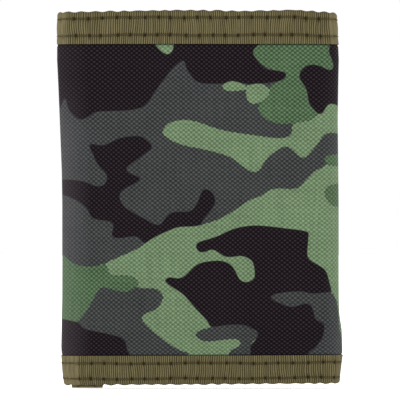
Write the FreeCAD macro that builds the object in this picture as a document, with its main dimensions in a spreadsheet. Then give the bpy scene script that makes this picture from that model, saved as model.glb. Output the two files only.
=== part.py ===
"""Trifold fabric wallet, folded shut, in millimetres.

+Z is up, the outside of the centre panel faces -Y, and the origin is the middle of the underside.
The outer flap folds round the right edge and the inner flap round the left one, so seen from
the front the layers are: centre panel, inner flap, outer flap. Each fold is a narrow spine
with one crease beside the panel and one beside the flap.
"""

import FreeCAD, Part
import Sketcher
import os

# Driving sizes. A layer is held by two cells: NAME_at, from the outside face of the centre
# shell to the layer's nearer face, and NAME_thick.
SIZES = {
    "front": -9.075,
    "height": 123.5,
    "panel_half": 43.5,
    "tape": 0.4,
    "edge_tape": 0.3,
    "tape_cover": 10.3,
    "edge_cover": 5.0,
    "lining_top": 111.0,
    "crease_inset": 1.4,
    "outer_free_edge": -41.9,
    "inner_free_edge": 41.5,
    "pocket_step": 12.0,
    "front_pocket_top": 60.0,
    "window_left": -36.0,
    "window_right": 28.0,
    "window_low": 26.0,
    "window_high": 96.0,
    "window_border": 6.0,
    "sheet_inset": 1.0,
    "closure_left": -29.0,
    "closure_right": -7.0,
    "closure_low": 32.0,
    "closure_high": 96.0,
    "coin_bag_low": 22.0,
    "coin_bag_right": 40.0,
    "zip_level": 88.0,
    "zip_slot": 9.0,
    "zip_gap": 1.0,
    "zip_tape_wide": 10.5,
    "coil_wide": 2.1,
    "coil_end": 36.0,
    "stop_long": 0.9,
    "tab_long": 6.4,
    "slider_at": 31.5,
    "slider_long": 8.0,
    "slider_wide": 7.0,
    "slider_plate": 0.6,
    "post_long": 2.6,
    "post_wide": 0.8,
    "arch_long": 7.0,
    "arch_wide": 1.5,
    "arch_wall": 0.8,
    "arch_hole": 1.0,
    "puller_long": 19.0,
    "puller_wide": 5.4,
    "puller_eye_long": 4.6,
    "puller_eye_wide": 2.6,
    "puller_bar": 0.35,
    "puller_grip_hole": 1.3,
    "puller_grip_inset": 3.2,
    "puller_tip_round": 2.0,
    "puller_eye_round": 0.3,
    "arch_round": 0.5,
    "thread_thick": 0.15,
    "thread_wide": 0.35,
    "row_near": 2.2,
    "row_far": 7.6,
}

LAYERS = {
    "centre_shell": (0.0, 1.1),
    "centre_lining": (2.5, 0.4),
    "pocket_back": (3.3, 0.4),
    "pocket_middle": (4.1, 0.4),
    "pocket_front": (4.9, 0.4),
    "window_frame": (6.1, 0.4),
    "window_sheet": (6.55, 0.25),
    "inner_lining": (6.85, 0.4),
    "inner_shell": (9.1, 1.1),
    "loop": (10.2, 1.2),
    "hook": (11.7, 0.9),
    "outer_lining": (12.6, 0.4),
    "coin_bag": (13.45, 0.35),
    "slider_back": (13.9, 0.5),
    "zip_tape": (14.5, 0.5),
    "coil": (15.0, 1.3),
    "outer_shell": (15.1, 1.1),
    "slider_face": (16.5, 0.6),
    "puller": (17.25, 0.7),
}

# The layers of a spine, from the middle of the wallet outwards: distance from x = 0, thickness.
SPINE = {
    "spine_lining": (44.1, 0.4),
    "spine_shell": (44.5, 1.1),
}

doc = FreeCAD.newDocument("trifold_wallet")
sheet = doc.addObject("Spreadsheet::Sheet", "dims")
pieces = []


def fill_sheet():
    """Write every driving size to the sheet, one per row, under its own alias."""
    cells = dict(SIZES)
    for name, (place, thickness) in {**LAYERS, **SPINE}.items():
        cells[name + "_at"] = place
        cells[name + "_thick"] = thickness
    for row, (alias, value) in enumerate(cells.items(), start=1):
        sheet.set(f"A{row}", alias)
        sheet.set(f"B{row}", str(value))
        sheet.setAlias(f"B{row}", alias)
    doc.recompute()


def size(alias):
    """A sheet value as a number."""
    return float(sheet.get(alias))


def layer(name, last=None):
    """The span in y of a layer, or of everything from one layer to the last."""
    far = last or name
    return (
        f"dims.front + dims.{name}_at",
        f"dims.front + dims.{far}_at + dims.{far}_thick",
    )


def spine_layer(side, name, last=None):
    """The span in x of a spine's layer on the right (side 1) or the left (side -1)."""
    far = last or name
    near_face = f"dims.{name}_at"
    far_face = f"(dims.{far}_at + dims.{far}_thick)"
    return (near_face, far_face) if side > 0 else (f"-{far_face}", f"-{near_face}")


def keep(piece, label):
    """Count an object as one of the wallet's pieces."""
    piece.Label = label
    pieces.append(piece)
    return piece


def block(name, spans):
    """A box whose faces lie at spans, a (low, high) pair of expressions for x, y and z."""
    solid = doc.addObject("Part::Box", name)
    for axis, side in zip("xyz", ("Length", "Width", "Height")):
        low, high = spans[axis]
        solid.setExpression(side, f"({high}) - ({low})")
        solid.setExpression(f"Placement.Base.{axis}", low)
    return solid


def plate(label, x, y, z):
    """A flat layer of cloth or tape, which is one piece by itself."""
    return keep(block(label, {"x": x, "y": y, "z": z}), label)


def cut(name, base, tool):
    """One solid with another taken away."""
    result = doc.addObject("Part::Cut", name)
    result.Base = base
    result.Tool = tool
    return result


def binding(label, core, through, edge, side, tape="dims.tape", legs=(1, 1)):
    """Tape folded over an edge of a core. core gives the spans that the tape covers, through is
    the axis through the layers, edge and side say which edge is wrapped, and legs says whether
    the tape has a leg on the low and on the high face."""
    skin = dict(core)
    slot = dict(core)
    low, high = core[through]
    skin[through] = (f"{low} - {legs[0]} * {tape}", f"{high} + {legs[1]} * {tape}")
    if not legs[0]:
        slot[through] = (f"{low} - {tape}", high)
    if not legs[1]:
        slot[through] = (low, f"{high} + {tape}")
    low, high = core[edge]
    if side > 0:
        skin[edge] = (low, f"{high} + {tape}")
        slot[edge] = (f"{low} - {tape}", high)
    else:
        skin[edge] = (f"{low} - {tape}", high)
        slot[edge] = (low, f"{high} + {tape}")
    run = next(axis for axis in "xyz" if axis not in (through, edge))
    low, high = core[run]
    slot[run] = (f"{low} - {tape}", f"{high} + {tape}")
    return keep(cut(label, block(label + "_fold", skin), block(label + "_core", slot)), label)


def fused(label, parts):
    """Several touching solids made one."""
    result = doc.addObject("Part::MultiFuse", label)
    result.Shapes = parts
    return result


FULL_WIDTH = ("-dims.panel_half", "dims.panel_half")
INNER_WIDTH = ("-dims.panel_half", "dims.inner_free_edge - dims.tape")
OUTER_WIDTH = ("dims.outer_free_edge + dims.tape", "dims.panel_half")
INNER_BOUND = ("-dims.panel_half", "dims.inner_free_edge - dims.tape_cover")
OUTER_BOUND = ("dims.outer_free_edge + dims.tape_cover", "dims.panel_half")

SHELL_TALL = ("dims.tape", "dims.height - dims.tape")
LINING_TALL = ("dims.tape", "dims.lining_top")
TOP_BAND = ("dims.height - dims.tape_cover", "dims.height - dims.tape")
LINING_BAND = ("dims.lining_top + dims.tape - dims.tape_cover", "dims.lining_top")
BOTTOM_BAND = ("dims.tape", "dims.tape_cover")


def panel_bindings(name, width, shell, lining, innermost, outermost):
    """The tapes along a panel's top edge, its lining's top edge and its bottom edge."""
    top = {"x": width, "y": layer(shell), "z": TOP_BAND}
    binding(f"{name}_top_binding", top, "y", "z", 1)
    inside = {"x": width, "y": layer(lining), "z": LINING_BAND}
    binding(f"{name}_lining_binding", inside, "y", "z", 1)
    bottom = {"x": width, "y": layer(innermost, outermost), "z": BOTTOM_BAND}
    binding(f"{name}_bottom_binding", bottom, "y", "z", -1)


def card_pockets():
    """Three landscape card pockets, each a step lower than the one behind it."""
    for step, name in enumerate(("front", "middle", "back")):
        top = f"dims.front_pocket_top + {step} * dims.pocket_step"
        face = layer(f"pocket_{name}")
        plate(f"card_pocket_{name}", FULL_WIDTH, face, ("dims.tape", top))
        edge = {"x": FULL_WIDTH, "y": face, "z": (f"{top} - dims.edge_cover", top)}
        binding(f"card_pocket_{name}_binding", edge, "y", "z", 1, tape="dims.edge_tape")


def centre_panel():
    """The panel between the folds: shell, lining and card pockets."""
    plate("centre_shell", FULL_WIDTH, layer("centre_shell"), SHELL_TALL)
    plate("centre_lining", FULL_WIDTH, layer("centre_lining"), LINING_TALL)
    panel_bindings(
        "centre", FULL_WIDTH, "centre_shell", "centre_lining", "centre_shell", "pocket_front"
    )
    card_pockets()


def spine(name, side, outer_layer):
    """The narrow panel between two creases, with its tapes."""
    run = (
        "dims.front + dims.crease_inset",
        f"dims.front + dims.{outer_layer}_at + dims.{outer_layer}_thick - dims.crease_inset",
    )
    shell = spine_layer(side, "spine_shell")
    lining = spine_layer(side, "spine_lining")
    both = spine_layer(side, "spine_lining", "spine_shell")
    plate(f"{name}_shell", shell, run, SHELL_TALL)
    plate(f"{name}_lining", lining, run, LINING_TALL)
    binding(f"{name}_top_binding", {"x": shell, "y": run, "z": TOP_BAND}, "x", "z", 1)
    inner_leg = (1, 0) if side > 0 else (0, 1)
    covered = {"x": lining, "y": run, "z": LINING_BAND}
    binding(f"{name}_lining_binding", covered, "x", "z", 1, legs=inner_leg)
    binding(f"{name}_bottom_binding", {"x": both, "y": run, "z": BOTTOM_BAND}, "x", "z", -1)


def window_frame():
    """Border of the identity window: a flat tape frame, padded from one sketch."""
    body = doc.addObject("PartDesign::Body", "id_window_frame")
    drawing = body.newObject("Sketcher::SketchObject", "window_frame_outline")
    flat = next(p for p in body.Origin.OriginFeatures if p.Role == "XZ_Plane")
    drawing.AttachmentSupport = [(flat, "")]
    drawing.MapMode = "FlatFace"
    outer = ("dims.window_left", "dims.window_right", "dims.window_low", "dims.window_high")
    border = "dims.window_border"
    inner = (
        f"{outer[0]} + {border}",
        f"{outer[1]} - {border}",
        f"{outer[2]} + {border}",
        f"{outer[3]} - {border}",
    )
    left, right = size("window_left"), size("window_right")
    low, high = size("window_low"), size("window_high")
    inset = size("window_border")
    rectangle(drawing, (left, right, low, high), outer)
    hole = (left + inset, right - inset, low + inset, high - inset)
    rectangle(drawing, hole, inner)
    pad = body.newObject("PartDesign::Pad", "window_frame_pad")
    pad.Profile = drawing
    pad.Reversed = True
    pad.setExpression("Length", "dims.window_frame_thick")
    body.setExpression("Placement.Base.y", "dims.front + dims.window_frame_at")
    keep(body, "id_window_frame")


def rectangle(drawing, place, bound):
    """Four sides with their left, right, low and high tied to expressions."""
    left, right, low, high = place
    corners = [(left, low), (right, low), (right, high), (left, high)]
    points = [FreeCAD.Vector(a, b, 0) for a, b in corners]
    first = len(drawing.Geometry)
    for start, end in zip(points, points[1:] + points[:1]):
        drawing.addGeometry(Part.LineSegment(start, end), False)
    for side in range(4):
        following = first + (side + 1) % 4
        drawing.addConstraint(Sketcher.Constraint("Coincident", first + side, 2, following, 1))
        level = "Horizontal" if side % 2 == 0 else "Vertical"
        drawing.addConstraint(Sketcher.Constraint(level, first + side))
    # each driven distance runs from the sketch's origin (-1, 1) to a corner
    for kind, corner, value, text in (
        ("DistanceX", first, left, bound[0]),
        ("DistanceX", first + 2, right, bound[1]),
        ("DistanceY", first, low, bound[2]),
        ("DistanceY", first + 2, high, bound[3]),
    ):
        tie = drawing.addConstraint(Sketcher.Constraint(kind, -1, 1, corner, 1, value))
        drawing.setExpression(f"Constraints[{tie}]", text)


def inner_flap():
    """The flap that closes first: window on its inside, loop tape on its outside."""
    plate("inner_flap_shell", INNER_WIDTH, layer("inner_shell"), SHELL_TALL)
    plate("inner_flap_lining", INNER_WIDTH, layer("inner_lining"), LINING_TALL)
    panel_bindings(
        "inner_flap", INNER_BOUND, "inner_shell", "inner_lining", "inner_lining", "inner_shell"
    )
    side = {
        "x": (INNER_BOUND[1], INNER_WIDTH[1]),
        "y": layer("inner_lining", "inner_shell"),
        "z": ("0", "dims.height"),
    }
    binding("inner_flap_side_binding", side, "y", "x", 1)
    window_frame()
    across = ("dims.window_left + dims.sheet_inset", "dims.window_right - dims.sheet_inset")
    up = ("dims.window_low + dims.sheet_inset", "dims.window_high - dims.sheet_inset")
    plate("id_window_sheet", across, layer("window_sheet"), up)
    closure("loop_strip", "loop")


def closure(label, name):
    """One half of the hook-and-loop closure."""
    across = ("dims.closure_left", "dims.closure_right")
    plate(label, across, layer(name), ("dims.closure_low", "dims.closure_high"))


def outer_flap():
    """The flap that closes last: hook tape inside, zipped coin pocket outside."""
    above = ("dims.zip_level + dims.zip_slot / 2", SHELL_TALL[1])
    below = (SHELL_TALL[0], "dims.zip_level - dims.zip_slot / 2")
    plate("outer_flap_shell_upper", OUTER_WIDTH, layer("outer_shell"), above)
    plate("outer_flap_shell_lower", OUTER_WIDTH, layer("outer_shell"), below)
    plate("outer_flap_lining", OUTER_WIDTH, layer("outer_lining"), LINING_TALL)
    panel_bindings(
        "outer_flap", OUTER_BOUND, "outer_shell", "outer_lining", "outer_lining", "outer_shell"
    )
    side = {
        "x": (OUTER_WIDTH[0], OUTER_BOUND[0]),
        "y": layer("outer_lining", "outer_shell"),
        "z": ("0", "dims.height"),
    }
    binding("outer_flap_side_binding", side, "y", "x", -1)
    bag_top = "dims.zip_level + dims.zip_slot"
    bag_wide = ("dims.outer_free_edge + dims.tape", "dims.coin_bag_right")
    plate("coin_pocket_lining", bag_wide, layer("coin_bag"), ("dims.coin_bag_low", bag_top))
    closure("hook_strip", "hook")


def zip_chain():
    """Two tapes, each with its coil, the two end stops and the tab over the folded end."""
    run = (OUTER_BOUND[0], "dims.coil_end")
    for name, side in (("upper", 1), ("lower", -1)):
        tape = rise(side, "dims.zip_gap / 2", "dims.zip_gap / 2 + dims.zip_tape_wide")
        coil = rise(side, "dims.zip_gap / 2", "dims.zip_gap / 2 + dims.coil_wide")
        plate(f"zip_tape_{name}", OUTER_WIDTH, layer("zip_tape"), tape)
        plate(f"zip_coil_{name}", run, layer("coil"), coil)
    half = "dims.zip_gap / 2 + dims.coil_wide"
    tall = (f"dims.zip_level - ({half})", f"dims.zip_level + {half}")
    stop = ("dims.coil_end", "dims.coil_end + dims.stop_long")
    plate("zip_end_stop", stop, layer("coil"), tall)
    tab = ("dims.panel_half - dims.tab_long", "dims.panel_half")
    plate("zip_end_tab", tab, layer("outer_shell"), centred("dims.zip_level", "dims.zip_slot"))


def rise(side, near, far):
    """A span in z measured up (side 1) or down (side -1) from the middle of the zip."""
    if side > 0:
        return (f"dims.zip_level + {near}", f"dims.zip_level + {far}")
    return (f"dims.zip_level - ({far})", f"dims.zip_level - ({near})")


def centred(middle, long):
    """A span of a given length about its middle."""
    return (f"{middle} - {long} / 2", f"{middle} + {long} / 2")


def zip_slider():
    """Back plate, post between the coils, face plate, and the arch that holds the puller."""
    middle = "dims.slider_at"
    long = centred(middle, "dims.slider_long")
    wide = centred("dims.zip_level", "dims.slider_wide")
    back = block("slider_back_plate", {"x": long, "y": layer("slider_back"), "z": wide})
    face = block("slider_face_plate", {"x": long, "y": layer("slider_face"), "z": wide})
    post_end = f"{middle} + dims.slider_long / 2"
    post = block(
        "slider_post",
        {
            "x": (f"{post_end} - dims.post_long", post_end),
            "y": layer("slider_back", "slider_face"),
            "z": centred("dims.zip_level", "dims.post_wide"),
        },
    )
    foot = layer("slider_face")[1]
    crown = f"{foot} + dims.arch_hole"
    narrow = centred("dims.zip_level", "dims.arch_wide")
    bow = block(
        "slider_bow",
        {
            "x": centred(middle, "dims.arch_long"),
            "y": (foot, f"{crown} + dims.slider_plate"),
            "z": narrow,
        },
    )
    rounded = doc.addObject("Part::Fillet", "slider_bow_rounded")
    rounded.Base = bow
    doc.recompute()
    outer_face = bow.Shape.BoundBox.YMax
    round_off = size("arch_round")
    ends = [
        (number, round_off, round_off)
        for number, edge in enumerate(bow.Shape.Edges, start=1)
        if edge.BoundBox.YMin > outer_face - 0.01 and edge.BoundBox.ZLength > 1.0
    ]
    rounded.Edges = ends
    hole = block(
        "slider_bow_hole",
        {
            "x": centred(middle, "(dims.arch_long - 2 * dims.arch_wall)"),
            "y": (foot, crown),
            "z": centred("dims.zip_level", "2 * dims.arch_wide"),
        },
    )
    arch = cut("slider_arch", rounded, hole)
    keep(fused("zip_slider", [back, post, face, arch]), "zip_slider")


def zip_puller():
    """A flat pull, padded from its outline, whose end bar lies under the slider's arch."""
    middle = "dims.slider_at"
    tip = f"{middle} + dims.puller_bar - dims.puller_long"
    thick = layer("puller")
    wide = centred("dims.zip_level", "dims.puller_wide")
    blank = block("puller_blank", {"x": (tip, f"{middle} + dims.puller_bar"), "y": thick, "z": wide})
    eye = block(
        "puller_eye",
        {
            "x": (f"{middle} - dims.puller_bar - dims.puller_eye_long", f"{middle} - dims.puller_bar"),
            "y": (f"{thick[0]} - dims.puller_thick", f"{thick[1]} + dims.puller_thick"),
            "z": centred("dims.zip_level", "dims.puller_eye_wide"),
        },
    )
    open_end = cut("puller_with_eye", blank, eye)
    grip = doc.addObject("Part::Cylinder", "puller_grip_hole")
    grip.setExpression("Radius", "dims.puller_grip_hole")
    grip.setExpression("Height", "3 * dims.puller_thick")
    grip.Placement.Rotation = FreeCAD.Rotation(FreeCAD.Vector(1, 0, 0), -90)
    grip.setExpression("Placement.Base.x", f"{tip} + dims.puller_grip_inset")
    grip.setExpression("Placement.Base.y", f"{thick[0]} - dims.puller_thick")
    grip.setExpression("Placement.Base.z", "dims.zip_level")
    pierced = cut("puller_pierced", open_end, grip)
    shaped = doc.addObject("Part::Fillet", "zip_puller")
    shaped.Base = pierced
    doc.recompute()
    box = pierced.Shape.BoundBox
    corners = []
    for number, edge in enumerate(pierced.Shape.Edges, start=1):
        place = edge.BoundBox
        upright = place.YLength > 0.5 and place.XLength < 0.01 and place.ZLength < 0.01
        on_side = min(abs(place.ZMin - box.ZMin), abs(place.ZMin - box.ZMax)) < 0.01
        if upright and on_side:
            at_tip = abs(place.XMin - box.XMin) < 0.01
            radius = size("puller_tip_round" if at_tip else "puller_eye_round")
            corners.append((number, radius, radius))
    shaped.Edges = corners
    keep(shaped, "zip_puller")


def thread_bar(x, y, z):
    """One seam's thread as a thin straight bar between two corners."""
    length = (x[1] - x[0], y[1] - y[0], z[1] - z[0])
    return Part.makeBox(*length, FreeCAD.Vector(x[0], y[0], z[0]))


def stitching(label, bars):
    """The seams of one panel, as one group of separate solids."""
    group = doc.addObject("Part::Feature", label)
    group.Shape = Part.makeCompound([thread_bar(*bar) for bar in bars])
    keep(group, label)


def seam_rows():
    """The z spans of the two seams in the top tape and the two in the bottom tape."""
    half = size("thread_wide") / 2
    top = size("height")
    inward = (size("row_near"), size("row_far"))
    levels = [top - row for row in inward] + list(inward)
    return [(level - half, level + half) for level in levels]


def all_stitching():
    """Thread on the outside of the tapes of every panel and spine."""
    front = size("front")
    tape = size("tape")
    thick = size("thread_thick")
    half = size("panel_half")
    inset = size("crease_inset")
    rows = seam_rows()
    face = (front - tape - thick, front - tape)
    stitching("centre_stitching", [((-half, half), face, row) for row in rows])
    outside = size("spine_shell_at") + size("spine_shell_thick") + tape
    for name, side, far in (("outer_spine", 1, "outer_shell"), ("inner_spine", -1, "inner_shell")):
        reach = front + size(f"{far}_at") + size(f"{far}_thick")
        across = sorted((side * outside, side * (outside + thick)))
        run = (front + inset, reach - inset)
        stitching(f"{name}_stitching", [(across, run, row) for row in rows])
    cover = size("tape_cover")
    ends = (size("thread_wide"), size("height") - size("thread_wide"))
    for name, free, shell in (
        ("inner_flap", size("inner_free_edge"), "inner_shell"),
        ("outer_flap", size("outer_free_edge"), "outer_shell"),
    ):
        side = 1 if free > 0 else -1
        hinge = -side * half
        bound = free - side * cover
        outer = front + size(f"{shell}_at") + size(f"{shell}_thick") + tape
        face = (outer, outer + thick)
        bars = [(sorted((hinge, bound)), face, row) for row in rows]
        for row in (size("row_near"), size("row_far")):
            level = free - side * row
            wide = (level - size("thread_wide") / 2, level + size("thread_wide") / 2)
            bars.append((wide, face, ends))
        stitching(f"{name}_stitching", bars)


def export():
    """Check every object, then write each piece to its own file."""
    doc.recompute()
    for thing in doc.Objects:
        if {"Invalid", "Error"} & set(thing.State):
            raise RuntimeError(f"{thing.Name} failed: {thing.State}")
    for piece in pieces:
        if piece.Shape.isNull() or not piece.Shape.isValid() or not piece.Shape.Solids:
            raise RuntimeError(f"{piece.Label} has no valid solid")
    os.makedirs("parts", exist_ok=True)
    for piece in pieces:
        piece.Shape.exportStep(f"parts/{piece.Label}.step")
    print(len(pieces), "pieces written")


fill_sheet()
centre_panel()
spine("outer_spine", 1, "outer_shell")
spine("inner_spine", -1, "inner_shell")
inner_flap()
outer_flap()
zip_chain()
zip_slider()
zip_puller()
all_stitching()
export()
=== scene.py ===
"""The trifold wallet's looks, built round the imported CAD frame.

Lengths are millimetres until build() turns them into metres. The wallet is one long cloth folded
in three. Seen from above its outside face is a single line, and a point of any layer is given by
s, the way along that line from the middle of the front, z, the height, and the depth inwards.
"""
import math

import bpy
import numpy as np
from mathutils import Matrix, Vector


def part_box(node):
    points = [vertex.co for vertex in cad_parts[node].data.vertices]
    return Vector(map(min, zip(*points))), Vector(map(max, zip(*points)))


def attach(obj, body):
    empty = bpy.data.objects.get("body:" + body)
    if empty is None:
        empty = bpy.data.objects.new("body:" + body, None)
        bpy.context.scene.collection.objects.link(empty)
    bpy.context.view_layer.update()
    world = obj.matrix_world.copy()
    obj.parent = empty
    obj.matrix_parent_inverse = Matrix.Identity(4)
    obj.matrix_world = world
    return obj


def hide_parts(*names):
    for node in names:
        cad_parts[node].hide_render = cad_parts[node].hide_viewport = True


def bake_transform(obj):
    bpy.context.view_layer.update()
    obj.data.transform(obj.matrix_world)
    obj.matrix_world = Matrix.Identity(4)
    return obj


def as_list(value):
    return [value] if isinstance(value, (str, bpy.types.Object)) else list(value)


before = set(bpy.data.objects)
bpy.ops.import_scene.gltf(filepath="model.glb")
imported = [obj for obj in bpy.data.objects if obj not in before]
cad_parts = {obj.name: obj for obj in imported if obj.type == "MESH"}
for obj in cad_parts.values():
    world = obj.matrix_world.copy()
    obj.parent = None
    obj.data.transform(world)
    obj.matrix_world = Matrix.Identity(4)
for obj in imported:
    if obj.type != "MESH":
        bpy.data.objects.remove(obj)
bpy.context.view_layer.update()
MM = 0.001


# ---- What the frame says ----

def span(node, axis):
    """Lowest and highest place of a CAD node along an axis."""
    low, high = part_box(node)
    index = "xyz".index(axis)
    return low[index] / MM, high[index] / MM


def area(node):
    """A CAD node's limits across and up, as x0, x1, z0, z1."""
    return (*span(node, "x"), *span(node, "z"))


# Depths and thicknesses.
FRONT = span("centre_shell", "y")[0]
SHELL = span("centre_shell", "y")[1] - FRONT
TAPE = FRONT - span("centre_top_binding", "y")[0]
OUTER_DEEP = span("outer_flap_shell_upper", "y")[1] - FRONT
INNER_DEEP = span("inner_flap_shell", "y")[1] - FRONT
LINING_THICK = 0.4

# Places across, and how far inside a side tape's edge the cloth ends.
WALL = span("outer_spine_shell", "x")[1]
PANEL = span("centre_shell", "x")[1]
OUTER_EDGE = span("outer_flap_side_binding", "x")[0]
INNER_EDGE = span("inner_flap_side_binding", "x")[1]
ZIP_TAB = span("zip_end_tab", "x")[0]
HEM = 1.2

# Heights, and how far the top tape reaches down.
COVER_LOW, TOP = span("centre_top_binding", "z")
COVER = TOP - COVER_LOW
CLOTH_LOW, CLOTH_HIGH = span("centre_shell", "z")
LINING_HIGH = span("centre_lining", "z")[1]
LINING_TOP = span("centre_lining_binding", "z")[1]


def depths(node, deep=0.0):
    """How far a layer's faces are inside its panel, whose outside face is deep behind the front."""
    near, far = (y - FRONT for y in span(node, "y"))
    return (near, far) if deep == 0 else (deep - far, deep - near)


# ---- The folded line and places on it ----

# Each fold's front and back corner, as reach across and in depth.
RIGHT_FRONT, RIGHT_BACK = (7.0, 5.5), (6.0, 5.5)
LEFT_FRONT, LEFT_BACK = (8.5, 5.1), (7.0, 5.1)


def half_line(deep, front, back, free):
    """Half of the folded line, from the middle of the front round one fold to a free edge.

    front and back are the corners' quarter ellipses, as reach across and in depth. Returns the
    way along, x towards the fold, y behind the front, and the outward normal."""
    turn = np.linspace(0, math.pi / 2, 50)
    sin, cos = np.sin(turn), np.cos(turn)
    (fx, fy), (bx, by) = front, back
    x = np.concatenate([[0], WALL - fx + fx * sin, WALL - bx + bx * cos, [free]])
    y = np.concatenate([[0], fy - fy * cos, deep - by + by * sin, [deep]])
    nx = np.concatenate([[0], sin / fx, cos / bx, [0]])
    ny = np.concatenate([[-1], -cos / fy, sin / by, [1]])
    way = np.concatenate([[0], np.cumsum(np.hypot(np.diff(x), np.diff(y)))])
    size = np.hypot(nx, ny)
    return way, x, y, nx / size, ny / size


RIGHT = half_line(OUTER_DEEP, RIGHT_FRONT, RIGHT_BACK, OUTER_EDGE)
LEFT = half_line(INNER_DEEP, LEFT_FRONT, LEFT_BACK, -INNER_EDGE)
LINE_S, LINE_X, LINE_Y, LINE_NX, LINE_NY = (
    np.concatenate([sign * a[::-1], b[1:]]) for sign, a, b in zip((-1, -1, 1, -1, 1), LEFT, RIGHT)
)
# Where each side's front corner starts and ends, its back corner starts and ends, and its edge.
R1, R2, R3, R4, R5 = RIGHT[0][[1, 50, 51, 100, 101]]
L1, L2, L3, L4, L5 = -LEFT[0][[1, 50, 51, 100, 101]]
RIGHT_CUT, LEFT_CUT, FRONT_CUT = (R2 + R3) / 2, (L2 + L3) / 2, -33.0


def on_outer(x):
    """The way along the line to a place across the outer flap."""
    return R4 + WALL - RIGHT_BACK[0] - x


def on_inner(x):
    """The way along the line to a place across the inner flap."""
    return L4 - (WALL - LEFT_BACK[0] + x)


# Each flap's way across, the depth of its outside face and the place of its free edge.
FLAPS = {"inner_flap": (on_inner, INNER_DEEP, INNER_EDGE),
         "outer_flap": (on_outer, OUTER_DEEP, OUTER_EDGE)}


def smooth(value):
    """0 below 0, 1 above 1 and an even turn between them."""
    value = np.clip(value, 0, 1)
    return value * value * (3 - 2 * value)


# The stack leans a little: how far each fold stands out at a height.
LEAN_HEIGHTS = [0, 3, 8, 14, 24, 30, 60, 71, 88, 108, 115, 124]
LEAN_LEFT = [1.9, 1.5, 1.05, 0.6, 0.65, 0.75, 0.75, 0.6, -0.05, -0.8, -0.6, -0.45]
LEAN_RIGHT = [0.4, 0.6, 0.75, 0.8, 0.75, 0.6, 0.55, 0.45, 0.25, 0.45, 0.0, -0.45]
LEAN_FROM, LEAN_REACH, LEFT_DEEPEST = 24.0, 20.0, 10.6
SPINE_BULGE, BULGE_HEIGHT, BULGE_REACH = 0.8, 15.0, 7.5
CROWN, RIPPLE = 0.5, 0.12
# The bottom edge is lifted and the top edge dips, at these ways along the line.
LIFT_WAYS = [L5, L3, L2, 0, R2, R4, on_outer(-31.2), on_outer(-31.7)]
LIFTS, LIFT_HEIGHT = [1.9, 1.9, 1.1, 1.3, 1.75, 1.9, 1.9, 0], 18.0
DIP_WAYS = [L4, L2, -30, -10, 0, 15, 32, 40, R2, R4]
DIPS, DIP_FROM, DIP_HEIGHT = [0.4, -0.2, -0.5, -0.9, -0.9, -0.6, -1.0, -0.4, 0.0, 0.4], 112.0, 11.0


def settle(x, y, z):
    """The lean, crown and slight waves that a used wallet has, for points at their CAD places."""
    left, right = (smooth((side * x - LEAN_FROM) / LEAN_REACH) for side in (-1, 1))
    behind = smooth((y - FRONT - 3) / 4) * np.exp(-(((z - BULGE_HEIGHT) / BULGE_REACH) ** 4))
    left = left * (1 - smooth((y - FRONT - LEFT_DEEPEST) / 1.4))
    lean = left * np.interp(z, LEAN_HEIGHTS, LEAN_LEFT)
    lean = lean + right * (np.interp(z, LEAN_HEIGHTS, LEAN_RIGHT) + SPINE_BULGE * behind)
    outermost = 1 - smooth((y - FRONT) / 2.4)
    crown = CROWN * np.clip(1 - (x / 45) ** 2, 0, 1) * np.sin(np.clip(z / TOP, 0, 1) * math.pi)
    waves = RIPPLE * np.sin(x / 11 + z / 23) * np.sin(z / 17 - x / 31 + 1)
    return np.stack([x + lean, y - outermost * (crown + waves), z], axis=-1)


def place(s, z, depth):
    """Where a point of the wallet is, from the way along the line, the height and the depth."""
    s, z, depth = np.broadcast_arrays(*(np.asarray(v, float) for v in (s, z, depth)))
    nx, ny = np.interp(s, LINE_S, LINE_NX), np.interp(s, LINE_S, LINE_NY)
    size = np.hypot(nx, ny)
    x = np.interp(s, LINE_S, LINE_X) - nx / size * depth
    y = FRONT + np.interp(s, LINE_S, LINE_Y) - ny / size * depth
    lift = np.interp(s, LIFT_WAYS, LIFTS) * np.clip(1 - z / LIFT_HEIGHT, 0, 1)
    dip = np.interp(s, DIP_WAYS, DIPS) * np.clip((z - DIP_FROM) / DIP_HEIGHT, 0, 1)
    return settle(x, y, z + lift - dip)


def by_part(s, inner_flap, fold, centre, outer_flap):
    """A value that is even on each panel and on the folds, and eases from one to the next."""
    ways = [L4 - 6, L3 - 3, L2 + 2, L1 + 6, R1 - 6, R2 - 2, R3 + 2, R4 + 6]
    return np.interp(s, ways, [inner_flap, fold, fold, centre, centre, fold, fold, outer_flap])


def lining_depth(s):
    """How deep the lining's top is: close to the shell on the folds, and further in on the panels."""
    return by_part(s, depths("inner_flap_lining", INNER_DEEP)[0], SHELL + TAPE,
                   depths("centre_lining")[0], depths("outer_flap_lining", OUTER_DEEP)[0])


def inside_depth(s):
    """How deep the bottom tape's inner leg reaches, round all the layers that it holds."""
    fold = WALL - span("outer_spine_bottom_binding", "x")[0] + 0.1
    outer_flap = depths("outer_flap_bottom_binding", OUTER_DEEP)[1]
    return by_part(s, depths("inner_flap_bottom_binding", INNER_DEEP)[1], fold,
                   depths("centre_bottom_binding")[1], outer_flap)


def pocket_depth(s, z, depth):
    """A pocket layer's depth, squeezed where the bottom tape narrows towards the folds."""
    under = lining_depth(s) - TAPE * by_part(s, 0, 1, 0, 0) + 0.4
    room = inside_depth(s) - TAPE - under
    flat = depths("centre_lining")[1]
    flat_room = depths("centre_bottom_binding")[1] - TAPE - flat
    squeezed = under + (depth - flat) * np.clip(room / flat_room, 0, 1)
    return depth + (squeezed - depth) * smooth((17 - z) / 5)


# ---- Mesh building ----

def add(name, data):
    """A new object in the scene that holds some data."""
    made = bpy.data.objects.new(name, data)
    bpy.context.scene.collection.objects.link(made)
    return made


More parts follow.
